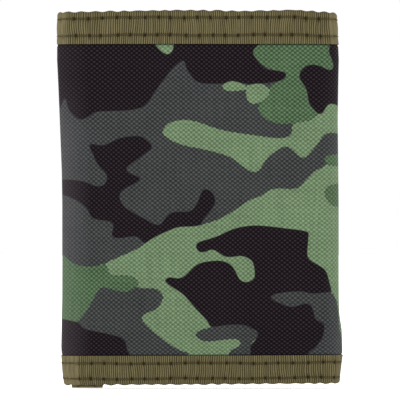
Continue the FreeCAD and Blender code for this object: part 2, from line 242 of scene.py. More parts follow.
def build(name, points, faces, material, values=None, crease=42):
    """A smooth-shaded mesh object from points in mm, with named float values at its points."""
    points = np.asarray(points, float)
    mesh = bpy.data.meshes.new(name)
    mesh.from_pydata((points * MM).tolist(), [], faces)
    for key, value in (values or {}).items():
        layer = mesh.attributes.new(key, "FLOAT", "POINT")
        layer.data.foreach_set("value", np.broadcast_to(value, len(points)).astype(np.float32))
    mesh.update()
    if volume(mesh) < 0:
        mesh.flip_normals()
    mesh.shade_smooth()
    mesh.set_sharp_from_angle(angle=math.radians(crease))
    mesh.materials.append(material)
    return add(name, mesh)


def places(mesh):
    """A mesh's points in metres."""
    points = np.zeros(len(mesh.vertices) * 3)
    mesh.vertices.foreach_get("co", points)
    return points.reshape(-1, 3)


def volume(mesh):
    """Six times the volume that a closed mesh encloses, below 0 where it is inside out."""
    mesh.calc_loop_triangles()
    corners = np.zeros(len(mesh.loop_triangles) * 3, np.int32)
    mesh.loop_triangles.foreach_get("vertices", corners)
    a, b, c = places(mesh)[corners].reshape(-1, 3, 3).transpose(1, 0, 2)
    return float(np.einsum("ij,ij->", a, np.cross(b, c)))


def grid_faces(rows, columns, first=0, wrap=False):
    """Quads of a grid of points counted column by column in each row."""
    across = np.arange(columns if wrap else columns - 1)
    after = (across + 1) % columns
    start = first + np.arange(rows - 1)[:, None] * columns
    quads = np.stack([start + across, start + columns + across, start + columns + after,
                      start + after], axis=-1)
    return quads.reshape(-1, 4).tolist()


def tube_faces(rings, around, first=0):
    """Faces of a tube with closed ends, over rings of points counted from first."""
    last = first + (rings - 1) * around
    ends = [list(range(first, first + around)), list(range(last + around - 1, last - 1, -1))]
    return grid_faces(rings, around, first, wrap=True) + ends


def slab(name, material, s, z, outer, inner, values=None):
    """A closed sheet of cloth over a grid of s by z, between two depths."""
    grid_s, grid_z = np.meshgrid(s, z, indexing="ij")
    sides = [place(grid_s, grid_z, depth).reshape(-1, 3) for depth in (outer, inner)]
    rows, columns = grid_s.shape
    count = rows * columns
    index = np.arange(count).reshape(rows, columns)
    rim = np.concatenate([index[:, 0], index[-1, 1:], index[-2::-1, -1], index[0, -2:0:-1]])
    after = np.roll(rim, -1)
    faces = grid_faces(rows, columns)
    faces += [face[::-1] for face in grid_faces(rows, columns, first=count)]
    faces += np.stack([rim, rim + count, after + count, after], axis=-1)[:, ::-1].tolist()
    shared = {"along": grid_s.ravel(), "across": grid_z.ravel(), **(values or {})}
    shared = {key: np.tile(np.broadcast_to(v, count), 2) for key, v in shared.items()}
    return build(name, np.concatenate(sides), faces, material, shared)


def steps(start, end, cell):
    """Even places from start to end, about a cell apart."""
    return np.linspace(start, end, max(2, int(round(abs(end - start) / cell)) + 1))


def tubes(name, material, paths, radius, ref, sides=6, flat=1.0):
    """Round threads or wires along paths of points, thin at both ends. ref is any direction that
    no path runs along, and flat widens them one way."""
    points, faces, extra, first = [], [], [], 0
    turn = np.linspace(0, 2 * math.pi, sides, endpoint=False)
    for number, path in enumerate(paths):
        path = np.asarray(path, float)
        tangent = np.gradient(path, axis=0)
        tangent /= np.linalg.norm(tangent, axis=1)[:, None]
        one = np.cross(tangent, ref)
        one /= np.linalg.norm(one, axis=1)[:, None]
        two = np.cross(one, tangent)
        size = np.full(len(path), float(radius))
        size[[0, -1]] *= 0.55
        ring = np.cos(turn)[:, None, None] * one + np.sin(turn)[:, None, None] * two * flat
        points.append((path + ring * size[:, None]).transpose(1, 0, 2).reshape(-1, 3))
        faces += tube_faces(len(path), sides, first)
        extra.append(np.repeat(np.arange(len(path)) / len(path) + number * 0.37, sides))
        first += len(path) * sides
    values = {"along": np.concatenate(extra)}
    return build(name, np.concatenate(points), faces, material, values, crease=60)


def ride(piece, body, slot, *nodes):
    """The piece moves with a body and stands for these CAD nodes, which are hidden; slot is not used."""
    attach(piece, body)
    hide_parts(*nodes)
    return piece


def declare(piece, start, end, low, high, with_pieces):
    """Takes the flat size that a cloth piece was cut to, and does nothing with it."""
    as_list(with_pieces)


def corner_point(s):
    """A point of the folded line in metres, for the ends of a bend."""
    x, y = np.interp(s, LINE_S, LINE_X), np.interp(s, LINE_S, LINE_Y)
    return (x * MM, (FRONT + y) * MM, 0.0)


def left_bend(deep, inward):
    """Ends of a bend at the left fold that keeps clear of all its layers where they are cut."""
    slope = np.array([-0.857, 0.514 * inward, -0.021])
    corner = np.array([LEFT_FRONT[0] - WALL, FRONT + deep, 0])
    return [tuple((corner + slope * way) * MM) for way in (2.5, 6.3)]


def free_end(stretch):
    """Where a stretch's cloth ends: at its cut, or inside the side tape's fold."""
    end = STRETCHES[stretch][1]
    return end - np.sign(end) * HEM if stretch in ("inner", "outer") else end


# Each stretch of the line between cuts: its two ends, the bodies it joins, and where it bends.
STRETCHES = {
    "centre": (FRONT_CUT, RIGHT_CUT, "centre", "outer_spine", corner_point(R1), corner_point(R2)),
    "left": (FRONT_CUT, LEFT_CUT, "centre", "inner_spine", *left_bend(0, 1)),
    "inner": (LEFT_CUT, L5, "inner_spine", "inner_flap", *left_bend(INNER_DEEP, -1)[::-1]),
    "outer": (RIGHT_CUT, R5, "outer_spine", "outer_flap", corner_point(R3), corner_point(R4)),
}

# The CAD's names for the parts that each stretch covers.
PARTS = {"centre": ["centre"], "left": ["inner_spine"], "inner": ["inner_flap"],
         "outer": ["outer_spine", "outer_flap"]}


def bend(piece, stretch, slot, *nodes):
    """The piece's place is baked into its mesh, and it stands for these CAD nodes, which are hidden."""
    _, _, body, other, start, end = STRETCHES[stretch]
    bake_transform(piece)
    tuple(start)
    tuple(end)
    if nodes:
        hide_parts(*nodes)
    return piece


# ---- Materials ----

def linear(red, green, blue):
    """A colour given as 0 to 255 screen values, as Blender's linear colour."""
    shares = [v / 255 for v in (red, green, blue)]
    return tuple(v / 12.92 if v <= 0.04045 else ((v + 0.055) / 1.055) ** 2.4 for v in shares) + (1,)


class Material:
    """A Principled material with short calls for its nodes."""

    def __init__(self, name, **settings):
        self.made = bpy.data.materials.new(name)
        self.made.use_nodes = True
        self.tree = self.made.node_tree
        self.shader = self.tree.nodes["Principled BSDF"]
        for key, value in settings.items():
            self.shader.inputs[key.replace("_", " ")].default_value = value

    def node(self, kind, *values, output=0, **settings):
        """A node with its settings and inputs, as one of its outputs."""
        made = self.tree.nodes.new("ShaderNode" + kind)
        for key, value in settings.items():
            setattr(made, key, value)
        for socket, value in zip(made.inputs, values):
            self.feed(socket, value)
        return made.outputs[output]

    def feed(self, socket, value):
        """Link a socket, or set its value."""
        if value is None:
            return
        if isinstance(value, bpy.types.NodeSocket):
            self.tree.links.new(value, socket)
        else:
            socket.default_value = value

    def field(self, name):
        """A value held at the mesh's points."""
        return self.node("Attribute", attribute_name=name, output=2)

    def math(self, operation, *values):
        return self.node("Math", *values, operation=operation)

    def times(self, value, factor):
        return self.math("MULTIPLY", value, factor)

    def plus(self, value, more):
        return self.math("ADD", value, more)

    def fitted(self, value, factor, more):
        """A value times a factor, and then some more."""
        return self.math("MULTIPLY_ADD", value, factor, more)

    def wave(self, value, period):
        """A sine that repeats each period."""
        return self.math("SINE", self.times(value, 2 * math.pi / period))

    def step(self, value, low, high, start=0.0, end=1.0):
        """An even turn from start to end as the value goes from low to high."""
        return self.node("MapRange", value, low, high, start, end, interpolation_type="SMOOTHSTEP")

    def noise(self, along, across, detail=2.0, spot=0.0):
        """Even noise about 0.5 over two coordinates."""
        where = self.node("CombineXYZ", along, across, spot)
        return self.node("TexNoise", where, None, 1.0, detail)

    def grain(self, along, across, detail=2.0, spot=0.0):
        """Noise over a piece's own coordinates, at a scale along it and one across it."""
        scaled = (self.times(self.field(name), factor)
                  for name, factor in (("along", along), ("across", across)))
        return self.noise(*scaled, detail, spot)

    def speckle(self, scale, detail):
        """Noise over an object's own space."""
        return self.node("TexNoise", self.node("TexCoord", output=3), None, scale, detail)

    def mix(self, share, low, high):
        """A colour between two colours."""
        return self.node("Mix", share, *[None] * 5, low, high, output=2, data_type="RGBA")

    def shade(self, colour, factor):
        """A colour made brighter or darker by a factor."""
        colour = colour[:3] if isinstance(colour, tuple) else colour
        return self.node("VectorMath", colour, None, None, factor, operation="SCALE")

    def finish(self, colour, height=None, relief=0.1, roughness=None):
        """Connect the colour, the relief in mm and the roughness."""
        self.feed(self.shader.inputs["Base Color"], colour)
        if roughness is not None:
            self.feed(self.shader.inputs["Roughness"], roughness)
        if height is not None:
            made = self.tree.nodes.new("ShaderNodeBump")
            made.inputs["Strength"].default_value = 1.0
            made.inputs["Distance"].default_value = relief * MM
            self.feed(made.inputs["Height"], height)
            self.feed(self.shader.inputs["Normal"], made.outputs[0])
        return self.made


GREY, MID = linear(57, 59, 59), linear(73, 97, 68)
LIGHT, BLACK = linear(103, 125, 93), linear(21, 12, 18)
OLIVE, OLIVE_PALE, BROWN = linear(106, 99, 70), linear(100, 92, 66), linear(40, 33, 9)
WEAVE_ALONG, WEAVE_ACROSS = 1.70, 1.45
RIB = 0.72


def camo_material():
    """Coarse plain-woven polyester with a four-colour print, and painted light: shadow along the tapes'
    edges, a highlight on the raised threads and sheen on the folds.
    """
    m = Material("camo_fabric", Roughness=0.7, Specular_IOR_Level=0.06)
    along, across = m.field("along"), m.field("across")
    wander = m.times(m.grain(0.3, 0.3), 0.5)
    warp = m.wave(m.plus(along, wander), WEAVE_ALONG)
    weft = m.wave(m.plus(across, wander), WEAVE_ACROSS)
    knuckle = m.times(warp, weft)
    edge = m.times(knuckle, 0.14)
    colour, contrast = GREY, 1.0
    for name, tone, share in (("mid", MID, 0.92), ("light", LIGHT, 0.7), ("black", BLACK, 1.15)):
        inside = m.step(m.plus(m.field(name), edge), -0.16, 0.16)
        colour = m.mix(inside, colour, tone)
        contrast = m.node("Mix", inside, None, contrast, share)
    threads = m.grain(1.25, 0.06, 1.0)
    picks = m.grain(0.05, 1.4, 1.0, 5.0)
    blotch = m.grain(0.08, 0.08, 2.0, 9.0)
    uneven = m.plus(m.plus(threads, picks), blotch)
    flat = m.fitted(m.field("turn"), -0.65, 1.0)
    raised = m.times(m.step(knuckle, -0.6, 1.0, -0.5, 0.5), flat)
    factor = m.plus(m.fitted(m.times(raised, contrast), 0.95, 0.94), m.fitted(uneven, 0.3, -0.45))
    # Painted shadow: the cloth darkens in a narrow band along the top and bottom tapes' edges.
    height = m.math("ABSOLUTE", m.math("SUBTRACT", across, TOP / 2))
    painted_edge_shadow = m.step(height, TOP / 2 - COVER - 0.7, TOP / 2 - COVER, 1.0, 0.2)
    colour = m.shade(colour, m.times(factor, painted_edge_shadow))
    # Painted highlight: the raised threads get a pale glint.
    painted_glint = m.math("MAXIMUM", m.fitted(raised, 0.08, 0.012), 0.0)
    # Painted sheen: the cloth is mixed towards a pale tint round the folds, along with the glint on the
    # raised threads.
    wear_and_sheen = m.fitted(m.field("turn"), 0.085, painted_glint)
    colour = m.mix(wear_and_sheen, colour, linear(148, 139, 147))
    roughness = m.step(knuckle, -1.0, 1.0, 0.78, 0.6)
    return m.finish(colour, m.times(knuckle, flat), 0.14, roughness)


def tape_material():
    """Olive grosgrain: ribs, dark grooves and pressed stitch rows, paler and smoother at the folds."""
    m = Material("binding_tape", Roughness=0.85, Specular_IOR_Level=0.1)
    streak = m.grain(1.3, 0.12, 2.0)
    fleck = m.grain(5.0, 3.0, 2.0, 3.0)
    body = m.mix(m.field("fade"), OLIVE, OLIVE_PALE)
    tone = m.fitted(streak, 1.0, 0.5)
    tone = m.times(tone, m.fitted(fleck, 0.6, 0.7))
    colour = m.mix(m.step(m.field("groove"), 0.05, 0.95), m.shade(body, tone), BROWN)
    colour = m.mix(m.field("hole"), colour, linear(34, 26, 8))
    return m.finish(colour, fleck, 0.06)


def thread_material():
    """Two-ply olive sewing thread."""
    m = Material("thread", Roughness=0.7, Specular_IOR_Level=0.15)
    ply = m.wave(m.field("along"), 0.22)
    tone = m.step(ply, -1.0, 1.0, 0.75, 1.15)
    return m.finish(m.shade(linear(70, 61, 33), tone), ply, 0.05)


def dark_weave(name, base, period, roughness):
    """Fine dark cloth with a plain weave and slight unevenness."""
    m = Material(name, Roughness=roughness, Specular_IOR_Level=0.15)
    warp = m.wave(m.field("along"), period)
    weft = m.wave(m.field("across"), period)
    knuckle = m.times(warp, weft)
    blotch = m.grain(0.15, 0.15, 3.0)
    factor = m.plus(m.step(knuckle, -1.0, 1.0, 0.7, 1.3), m.plus(blotch, -0.5))
    return m.finish(m.shade(base, factor), knuckle, 0.08)


def zip_tape_material():
    """Black zip tape in herringbone: its twill turns back every few ribs."""
    m = Material("zip_tape", Roughness=0.75, Specular_IOR_Level=0.15)
    zigzag = m.math("PINGPONG", m.field("across"), 1.6)
    twill = m.wave(m.plus(m.field("along"), zigzag), 0.55)
    return m.finish(m.shade(linear(36, 35, 36), m.step(twill, -1.0, 1.0, 0.6, 1.5)), twill, 0.08)


def coil_material():
    """Black nylon monofilament, a little worn."""
    m = Material("zip_coil", Roughness=0.38, Specular_IOR_Level=0.5)
    wear = m.noise(m.times(m.field("along"), 9.0), 0.0, 2.0)
    colour = m.shade(linear(44, 43, 44), m.plus(wear, 0.5))
    return m.finish(colour, wear, 0.03, m.step(wear, 0.3, 0.7, 0.3, 0.5))


def metal_material():
    """Dark satin zinc alloy, brighter where its edges show wear."""
    m = Material("zip_metal", Metallic=0.85, Roughness=0.36)
    grain = m.speckle(900.0, 4.0)
    edge = m.node("NewGeometry", output=7)
    wear_and_sheen = m.step(m.plus(edge, m.fitted(grain, 0.06, -0.03)), 0.52, 0.6)
    colour = m.mix(wear_and_sheen, linear(92, 90, 88), linear(168, 165, 160))
    return m.finish(colour, grain, 0.01, m.step(grain, 0.3, 0.7, 0.3, 0.46))


def hook_material():
    """Black nylon hooks on their woven base."""
    m = Material("hook_tape", Roughness=0.5, Specular_IOR_Level=0.3)
    fleck = m.grain(4.0, 4.0, 2.0)
    return m.finish(m.shade(linear(38, 37, 38), m.plus(fleck, 0.5)), fleck, 0.05)


def loop_material():
    """Black brushed loops, a dull fuzz."""
    m = Material("loop_tape", Roughness=0.95, Specular_IOR_Level=0.1, Sheen_Weight=0.06)
    fuzz = m.grain(2.2, 2.2, 5.0)
    return m.finish(m.shade(linear(40, 39, 40), m.fitted(fuzz, 1.4, 0.3)), fuzz, 0.3)


def vinyl_material():
    """Clear vinyl lying on the dark lining: it takes that colour, with slow ripples and scuffs."""
    m = Material("clear_vinyl", Roughness=0.2, Alpha=0.97, Specular_IOR_Level=0.4)
    ripple = m.grain(0.09, 0.05, 1.0)
    scuff = m.grain(0.35, 0.07, 3.0, 2.0)
    colour = m.mix(m.step(scuff, 0.5, 0.75), linear(36, 37, 37), linear(56, 59, 58))
    return m.finish(colour, ripple, 0.4, m.step(scuff, 0.45, 0.7, 0.15, 0.35))


CAMO, OLIVE_TAPE, THREAD = camo_material(), tape_material(), thread_material()
LINING = dark_weave("lining_fabric", linear(40, 39, 40), 0.7, 0.7)
ZIP_TAPE, ZIP_COIL, METAL = zip_tape_material(), coil_material(), metal_material()
HOOKS, LOOPS, VINYL = hook_material(), loop_material(), vinyl_material()


# ---- The print ----

# Blobs of the print on the front panel as x, z outlines, each laid over the ones before it.
PRINT = [
    ("mid", [(17.7, 116), (17.7, 111), (20, 107), (25, 104.6), (28.8, 103), (27.5, 101.5), (23.5, 99.5),
        (23.5, 97), (20, 93.5), (20, 91), (23, 88.2), (28, 87), (36, 88), (39, 90), (41.5, 92.5), (50, 93),
        (50, 116)]),
    ("black", [(-50, 90), (-46, 91.6), (-44.6, 93.6), (-43.5, 95.8), (-42.3, 91.5), (-39, 88.4),
        (-36, 89.5), (-33, 91), (-25, 91.3), (-20, 92), (-17, 93.5), (-14, 98), (-9.5, 104), (-7, 106.5),
        (-4.8, 107.8), (-3.8, 105), (-1, 101.3), (3, 100.2), (15.5, 100.3), (17, 99.3), (19, 100),
        (25, 100.8), (27.5, 101.5), (28.8, 103), (28, 104), (25, 104.6), (22, 105.2), (18.5, 109),
        (17.7, 111), (17.5, 118), (-50, 118)]),
    ("light", [(-15.5, 116), (-14.8, 113.8), (-13, 111.5), (-11, 110), (-9.5, 110), (-8.3, 111.5),
        (-8, 113.8), (-8, 116)]),
    ("black", [(-50, 68), (-44, 68.7), (-38, 68), (-35, 66.8), (-32.5, 66.5), (-30.8, 67.5), (-30.2, 70),
        (-33.5, 74), (-34.8, 77), (-36, 80.3), (-31, 80), (-26, 82.3), (-20, 83), (-17.5, 82),
        (-15.2, 79.5), (-17, 77.5), (-23, 73.3), (-23.6, 71.8), (-22.5, 70.8), (-19.3, 69.2), (-20, 68),
        (-24.5, 65.5), (-26, 63), (-24, 59.5), (-18, 56), (-15, 54.3), (-12.5, 54), (-9, 57.8), (-3, 58.2),
        (-1, 60), (0, 62), (1.5, 65.3), (3.5, 65.2), (5.3, 63), (5, 60), (1.5, 55.5), (-0.5, 52), (-12, 46),
        (-17.5, 47.6), (-20.5, 50), (-26, 49.5), (-28.5, 50.3), (-28, 53.5), (-29.5, 55), (-35, 56),
        (-37.5, 59.5), (-42, 62.5), (-50, 65.5)]),
    ("light", [(-11.8, 84.5), (-11, 86), (-9, 87.5), (-4.5, 88.3), (0, 87.5), (8, 84.9), (20, 83),
        (27, 82.3), (30.4, 83.5), (31, 87), (36, 88), (39, 90), (41.5, 93), (50, 94), (50, 84.2), (42, 84),
        (38.5, 80), (35, 76.2), (33.3, 76.2), (30, 79.2), (27.5, 79.3), (23, 76.3), (20, 72), (18, 71.2),
        (15, 72.8), (10, 76.3), (2, 78.6), (-6, 80.3), (-11, 83)]),
    ("black", [(50, 117), (44.5, 117), (42.8, 112), (42.6, 110.5), (43.9, 106.3), (43.5, 105),
        (42.3, 104.7), (39.5, 106), (37, 106.4), (34.8, 105.8), (33.3, 104), (33.1, 102), (35.2, 98.5),
        (36, 94.5), (37, 92.5), (40, 90.2), (43, 93.8), (50, 93.5)]),
    ("light", [(7.8, 99), (9, 100.5), (11.5, 101.1), (15.7, 99.6), (15.5, 98.3), (10, 97.8)]),
    ("light", [(16.5, 99.6), (20.5, 100.2), (23.6, 97.8), (20.8, 94.5), (18.5, 93.6), (16.5, 94.3),
        (15.6, 97)]),
    ("light", [(-31, 41), (-25, 43.7), (-19.5, 46.3), (-15, 49.5), (-9, 52.3), (-6, 53.2), (0, 53.6),
        (8, 56.3), (17, 62), (20, 63), (23, 65), (26, 65.8), (32, 65.8), (35.5, 69), (40, 72.5), (50, 73.5),
        (50, 8), (-3, 8), (-3, 11), (-8, 13.3), (-17.5, 21.3), (-18.5, 23), (-18, 24.3), (-13.5, 26.5),
        (-11.5, 30), (-12.5, 31.7), (-14.5, 33), (-20, 33.2), (-20, 35.5), (-23, 37.2), (-28.5, 37.3),
        (-30, 39.5)]),
    ("mid", [(41.2, 75), (42.5, 76.7), (50, 76.5), (50, 73.5), (43, 73.3)]),
    ("mid", [(41, 64), (41.5, 66), (43.5, 67), (50, 67), (50, 60), (44, 60), (42, 61.5)]),
    ("mid", [(-50, 45.5), (-44, 42.8), (-41.5, 41), (-38, 40.2), (-34, 40.3), (-31, 41), (-28.5, 37.3),
        (-23, 37.2), (-20, 35.5), (-20, 34), (-24, 31.8), (-31.5, 33.3), (-33.5, 32), (-37, 26),
        (-40, 22.5), (-42, 22), (-50, 22)]),
    ("black", [(-50, 21.9), (-40.5, 21.8), (-39, 20.3), (-36.5, 19.3), (-30, 18), (-24.8, 16.3),
        (-23.5, 12.5), (-23.3, 7), (-50, 7)]),
    ("black", [(-0.8, 46.6), (-0.3, 47.9), (1.2, 48.5), (6, 50), (12, 52.6), (19, 53.6), (29, 52.6),
        (35.2, 51.6), (35.7, 50), (35.4, 44), (36.6, 42), (41, 39), (42.5, 34.5), (43, 31.5), (41.5, 25),
        (41, 18), (40, 7), (16.6, 7), (16.5, 12.5), (18.5, 15.5), (19.4, 17.5), (18.5, 19.3), (16, 20.6),
        (13, 21), (5, 20.2), (2.5, 22.8), (-1, 26.5), (-5, 31), (-9.5, 34), (-11, 35.6), (-9.5, 36.6),
        (-7, 36.2), (-4.5, 37), (0, 41), (7, 42), (11, 40.3), (13.3, 36.2), (15.2, 35), (17, 35.3),
        (18.5, 36.8), (18, 41.3), (16, 43.1), (13.5, 43.7), (11, 43.3), (8.5, 43.6), (4.8, 45.7), (2.2, 45),
        (0.3, 45)]),
    ("grey", [(-0.9, 17.2), (0, 19), (5, 20.3), (13, 21.1), (18.5, 19.4), (19.5, 17.5), (17.1, 14),
        (16.7, 7), (9, 7), (10.5, 12), (13, 13.4), (13.8, 15), (12, 16.2), (6, 15.6), (2, 15.4)]),
    ("grey", [(23.7, 29.8), (26, 31.3), (33, 32), (37, 31.3), (42.8, 31.6), (44.5, 29.5), (45.2, 26),
        (45.4, 20), (45.7, 7), (35.5, 7), (35.6, 11.2), (37.5, 12.8), (39.8, 16.3), (40.6, 19.6),
        (40.3, 21.3), (38.4, 22.4), (37.6, 23.4), (37.3, 25.2), (36.5, 27.2), (34.5, 28), (30, 26.9)]),
]
PRINT_HALF, PRINT_CELL = 49.5, 0.5
PRINT_LOW, PRINT_HIGH = 9.0, 115.0
# The print is mirrored past these heights, and turns into its other stretch over this way.
MIRROR_LOW, MIRROR_HIGH = 10.5, 113.5
TURNOVER = 13.0
FAR_IN = 6.0
# Where the other stretch starts across past the right and the left fold, and its height.
OTHER_RIGHT, OTHER_LEFT, OTHER_TOP = 46, 24, 120


def rounded(outline, parts=4):
    """A closed smooth curve through the outline's points."""
    points = np.array(outline, float)
    before, after, beyond = (np.roll(points, -k, axis=0) for k in (-1, 1, 2))
    made = []
    for t in np.arange(parts) / parts:
        made.append(0.5 * (2 * points + (after - before) * t
                           + (2 * before - 5 * points + 4 * after - beyond) * t ** 2
                           + (3 * points - before - 3 * after + beyond) * t ** 3))
    return np.stack(made, axis=1).reshape(-1, 2)


def inside_distance(x, z, outline):
    """How far each point is inside a closed outline, below 0 outside it."""
    nearest = np.full(x.shape, 1e9)
    inside = np.zeros(x.shape, bool)
    for (ax, az), (bx, bz) in zip(outline, np.roll(outline, -1, axis=0)):
        dx, dz = bx - ax, bz - az
        t = np.clip(((x - ax) * dx + (z - az) * dz) / (dx * dx + dz * dz), 0, 1)
        nearest = np.minimum(nearest, (x - ax - t * dx) ** 2 + (z - az - t * dz) ** 2)
        if az != bz:
            inside ^= ((az > z) != (bz > z)) & (x < ax + dx * (z - az) / dz)
    return np.where(inside, 1, -1) * np.sqrt(nearest)


def print_fields():
    """For each ink, how far inside it each point of a fine grid over the front is."""
    x = np.arange(-PRINT_HALF - 1, PRINT_HALF + 1.01, PRINT_CELL)
    z = np.arange(PRINT_LOW, PRINT_HIGH + 0.01, PRINT_CELL)
    grid_x, grid_z = np.meshgrid(x, z, indexing="ij")
    inks = {name: np.full(grid_x.shape, -50.0) for name in ("mid", "light", "black")}
    for ink, outline in PRINT:
        distance = inside_distance(grid_x, grid_z, rounded(outline))
        for name in inks:
            inks[name] = (np.maximum(inks[name], distance) if name == ink
                          else np.minimum(inks[name], -distance))
    return x, z, inks


PRINT_X, PRINT_Z, INKS = print_fields()


def folded_back(value, low, high):
    """A value led back and forth between two limits."""
    way = np.mod(value - low, 2 * (high - low))
    return low + np.minimum(way, 2 * (high - low) - way)


def inks_at(x, z):
    """Each ink's field at places of the front, which mirrors past its edges."""
    x, z = folded_back(x, -PRINT_HALF, PRINT_HALF), folded_back(z, MIRROR_LOW, MIRROR_HIGH)
    column = np.clip((x - PRINT_X[0]) / PRINT_CELL, 0, len(PRINT_X) - 1.001)
    row = np.clip((z - PRINT_Z[0]) / PRINT_CELL, 0, len(PRINT_Z) - 1.001)
    i, j = column.astype(int), row.astype(int)
    u, v = column - i, row - j
    return {name: ((ink[i, j] * (1 - u) + ink[i + 1, j] * u) * (1 - v)
                   + (ink[i, j + 1] * (1 - u) + ink[i + 1, j + 1] * u) * v)
            for name, ink in INKS.items()}


def print_values(s, z):
    """The inks at points of the cloth. Past the folds the print turns into another stretch of the
    front's, upside down."""
    past = np.maximum(np.where(s > 0, s - R2, L2 - s), 0)
    side = np.sign(s)
    x = np.where(past > 0, side * WALL, np.clip(np.interp(s, LINE_S, LINE_X), -WALL, WALL))
    front = inks_at(x + side * past, z + side * 0.3 * past)
    across = np.where(s > 0, OTHER_RIGHT, OTHER_LEFT) - past
    flap = inks_at(across, OTHER_TOP - z + 4 * np.sin(past / 17))
    share = smooth(past / TURNOVER)
    return {name: (np.clip(front[name], -FAR_IN, FAR_IN) * (1 - share)
                   + np.clip(flap[name], -FAR_IN, FAR_IN) * share).ravel() for name in front}


# ---- Cloth pieces ----

# How strongly the print's cloth gets a flatter weave and painted sheen round the folds, at ways along the
# line.
TURN_WAYS = [L4, L3, L2, L1 + 1.5, R1 + 2, R2, R3, R4]
TURNS = [0, 0.7, 1, 0, 0, 0.6, 0.5, 0]


def camo_sheet(name, start, end, low, high, cell, hems=()):
    """A stretch of the printed shell. Each hem is a height where an edge is turned under."""
    s, z = steps(start, end, cell), steps(low, high, cell)
    for hem in hems:
        inward = 1 if hem == low else -1
        z = np.unique(np.concatenate([z, hem + inward * np.array([0.2, 0.5, 1.0, 1.5, 2.0, 2.6])]))
    grid_s, grid_z = np.meshgrid(s, z, indexing="ij")
    free = TOP / 2 - COVER - np.abs(grid_z - TOP / 2)
    proud = 0.3 * smooth(free / 0.9) * np.exp(-np.clip(free, 0, None) / 8)
    for hem in hems:
        away = np.abs(grid_z - hem)
        proud += 0.22 * smooth((3.2 - away) / 0.8) * smooth((away + 0.25) / 0.5)
        proud -= 0.2 * np.exp(-(((away - 1.5) / 0.35) ** 2))
    # turn marks where the folds get a flatter weave and painted sheen, with less of it near the top.
    turn = np.interp(grid_s, TURN_WAYS, TURNS) * (0.35 + 0.65 * smooth((104 - grid_z) / 22))
    values = {**print_values(grid_s, grid_z), "turn": turn.ravel()}
    return slab(name, CAMO, s, z, -proud, SHELL, values)


def shell():
    """The printed outside, in one piece for each fold and two for the flap's halves."""
    pieces = {}
    for stretch, cell in (("centre", 0.9), ("left", 0.9), ("inner", 1.1)):
        start, end = STRETCHES[stretch][0], free_end(stretch)
        piece = camo_sheet("camo_" + stretch, start, end, CLOTH_LOW, CLOTH_HIGH, cell)
        pieces[stretch] = bend(piece, stretch, "camo_fabric", PARTS[stretch][0] + "_shell")
    tab = on_outer(ZIP_TAB)
    piece = camo_sheet("camo_outer_fold", RIGHT_CUT, tab, CLOTH_LOW, CLOTH_HIGH, 0.9)
    pieces["outer_fold"] = bend(piece, "outer", "camo_fabric", "outer_spine_shell", "zip_end_tab")
    for part, hem_end in (("lower", 1), ("upper", 0)):
        node = "outer_flap_shell_" + part
        limits = span(node, "z")
        piece = camo_sheet("camo_outer_" + part, tab, free_end("outer"), *limits, 1.1,
                           [limits[hem_end]])
        pieces["outer_" + part] = ride(piece, "outer_flap", "camo_fabric", node)
    return pieces


def lining():
    """The black lining, which ends below the top to leave the note pocket open."""
    for stretch, parts in PARTS.items():
        start, end = STRETCHES[stretch][0], free_end(stretch)
        s, z = steps(start, end, 1.5), steps(CLOTH_LOW, LINING_HIGH, 2.5)
        against_shell = by_part(s, 0, 1, 0, 0)[:, None] * smooth((95 - z) / 9)
        near = lining_depth(s)[:, None] - TAPE * against_shell
        piece = slab("lining_" + stretch, LINING, s, z, near, near + LINING_THICK)
        bend(piece, stretch, "lining_fabric", *(part + "_lining" for part in parts))
        declare(piece, start, end, CLOTH_LOW, LINING_HIGH, [])


# ---- Grosgrain tapes and their stitches ----

# A stitch's length, and the stitch rows' ways from a tape's edge.
PITCH = 4.47
ROWS = (2.2, 7.6)
THREAD_RADIUS = 0.17
# How far out a tape's ribs are pulled smooth at a fold, and by what share.
NO_FADE, FOLD_FADE = (43.0, 0.0), (43.0, 0.6)
FADES = {("bottom", "left"): (40.2, 1.0), ("top", "left"): (42.4, 0.8),
         ("top", "centre"): (43.0, 1.0), ("bottom", "centre"): (44.0, 0.4)}
# How far a side tape's ends are pressed shut, and how near to them its stitches come.
END_REACH, SEAM_STOP = 0.8, 2.6
UP = (0.0, 0.0, 1.0)


def needle_holes(start, end, seed):
    """Places of a stitch row's holes, a little uneven."""
    rng = np.random.default_rng(seed)
    count = int((end - start) / PITCH) + 1
    return start + (np.arange(count) + rng.uniform(-0.12, 0.12, count)) * PITCH


def rib_stations(start, end, seed):
    """Places along a tape, four to a rib, with how high it stands there from -1 to 1."""
    rng = np.random.default_rng(seed)
    count = max(3, round(abs(end - start) / RIB))
    edges = np.linspace(start, end, count + 1)
    edges[1:-1] += rng.uniform(-0.1, 0.1, count - 1) * (end - start) / count
    where = edges[:-1, None] + np.diff(edges)[:, None] * np.array([0, 0.25, 0.5, 0.75])
    height = np.array([-1, 0.1, 1, 0.1]) * rng.uniform(0.5, 1.1, (count, 1))
    height[:, 0] = -rng.uniform(0.5, 1.3, count)
    height[0, 0] = -1
    return np.append(where.ravel(), end), np.append(height.ravel(), -1)


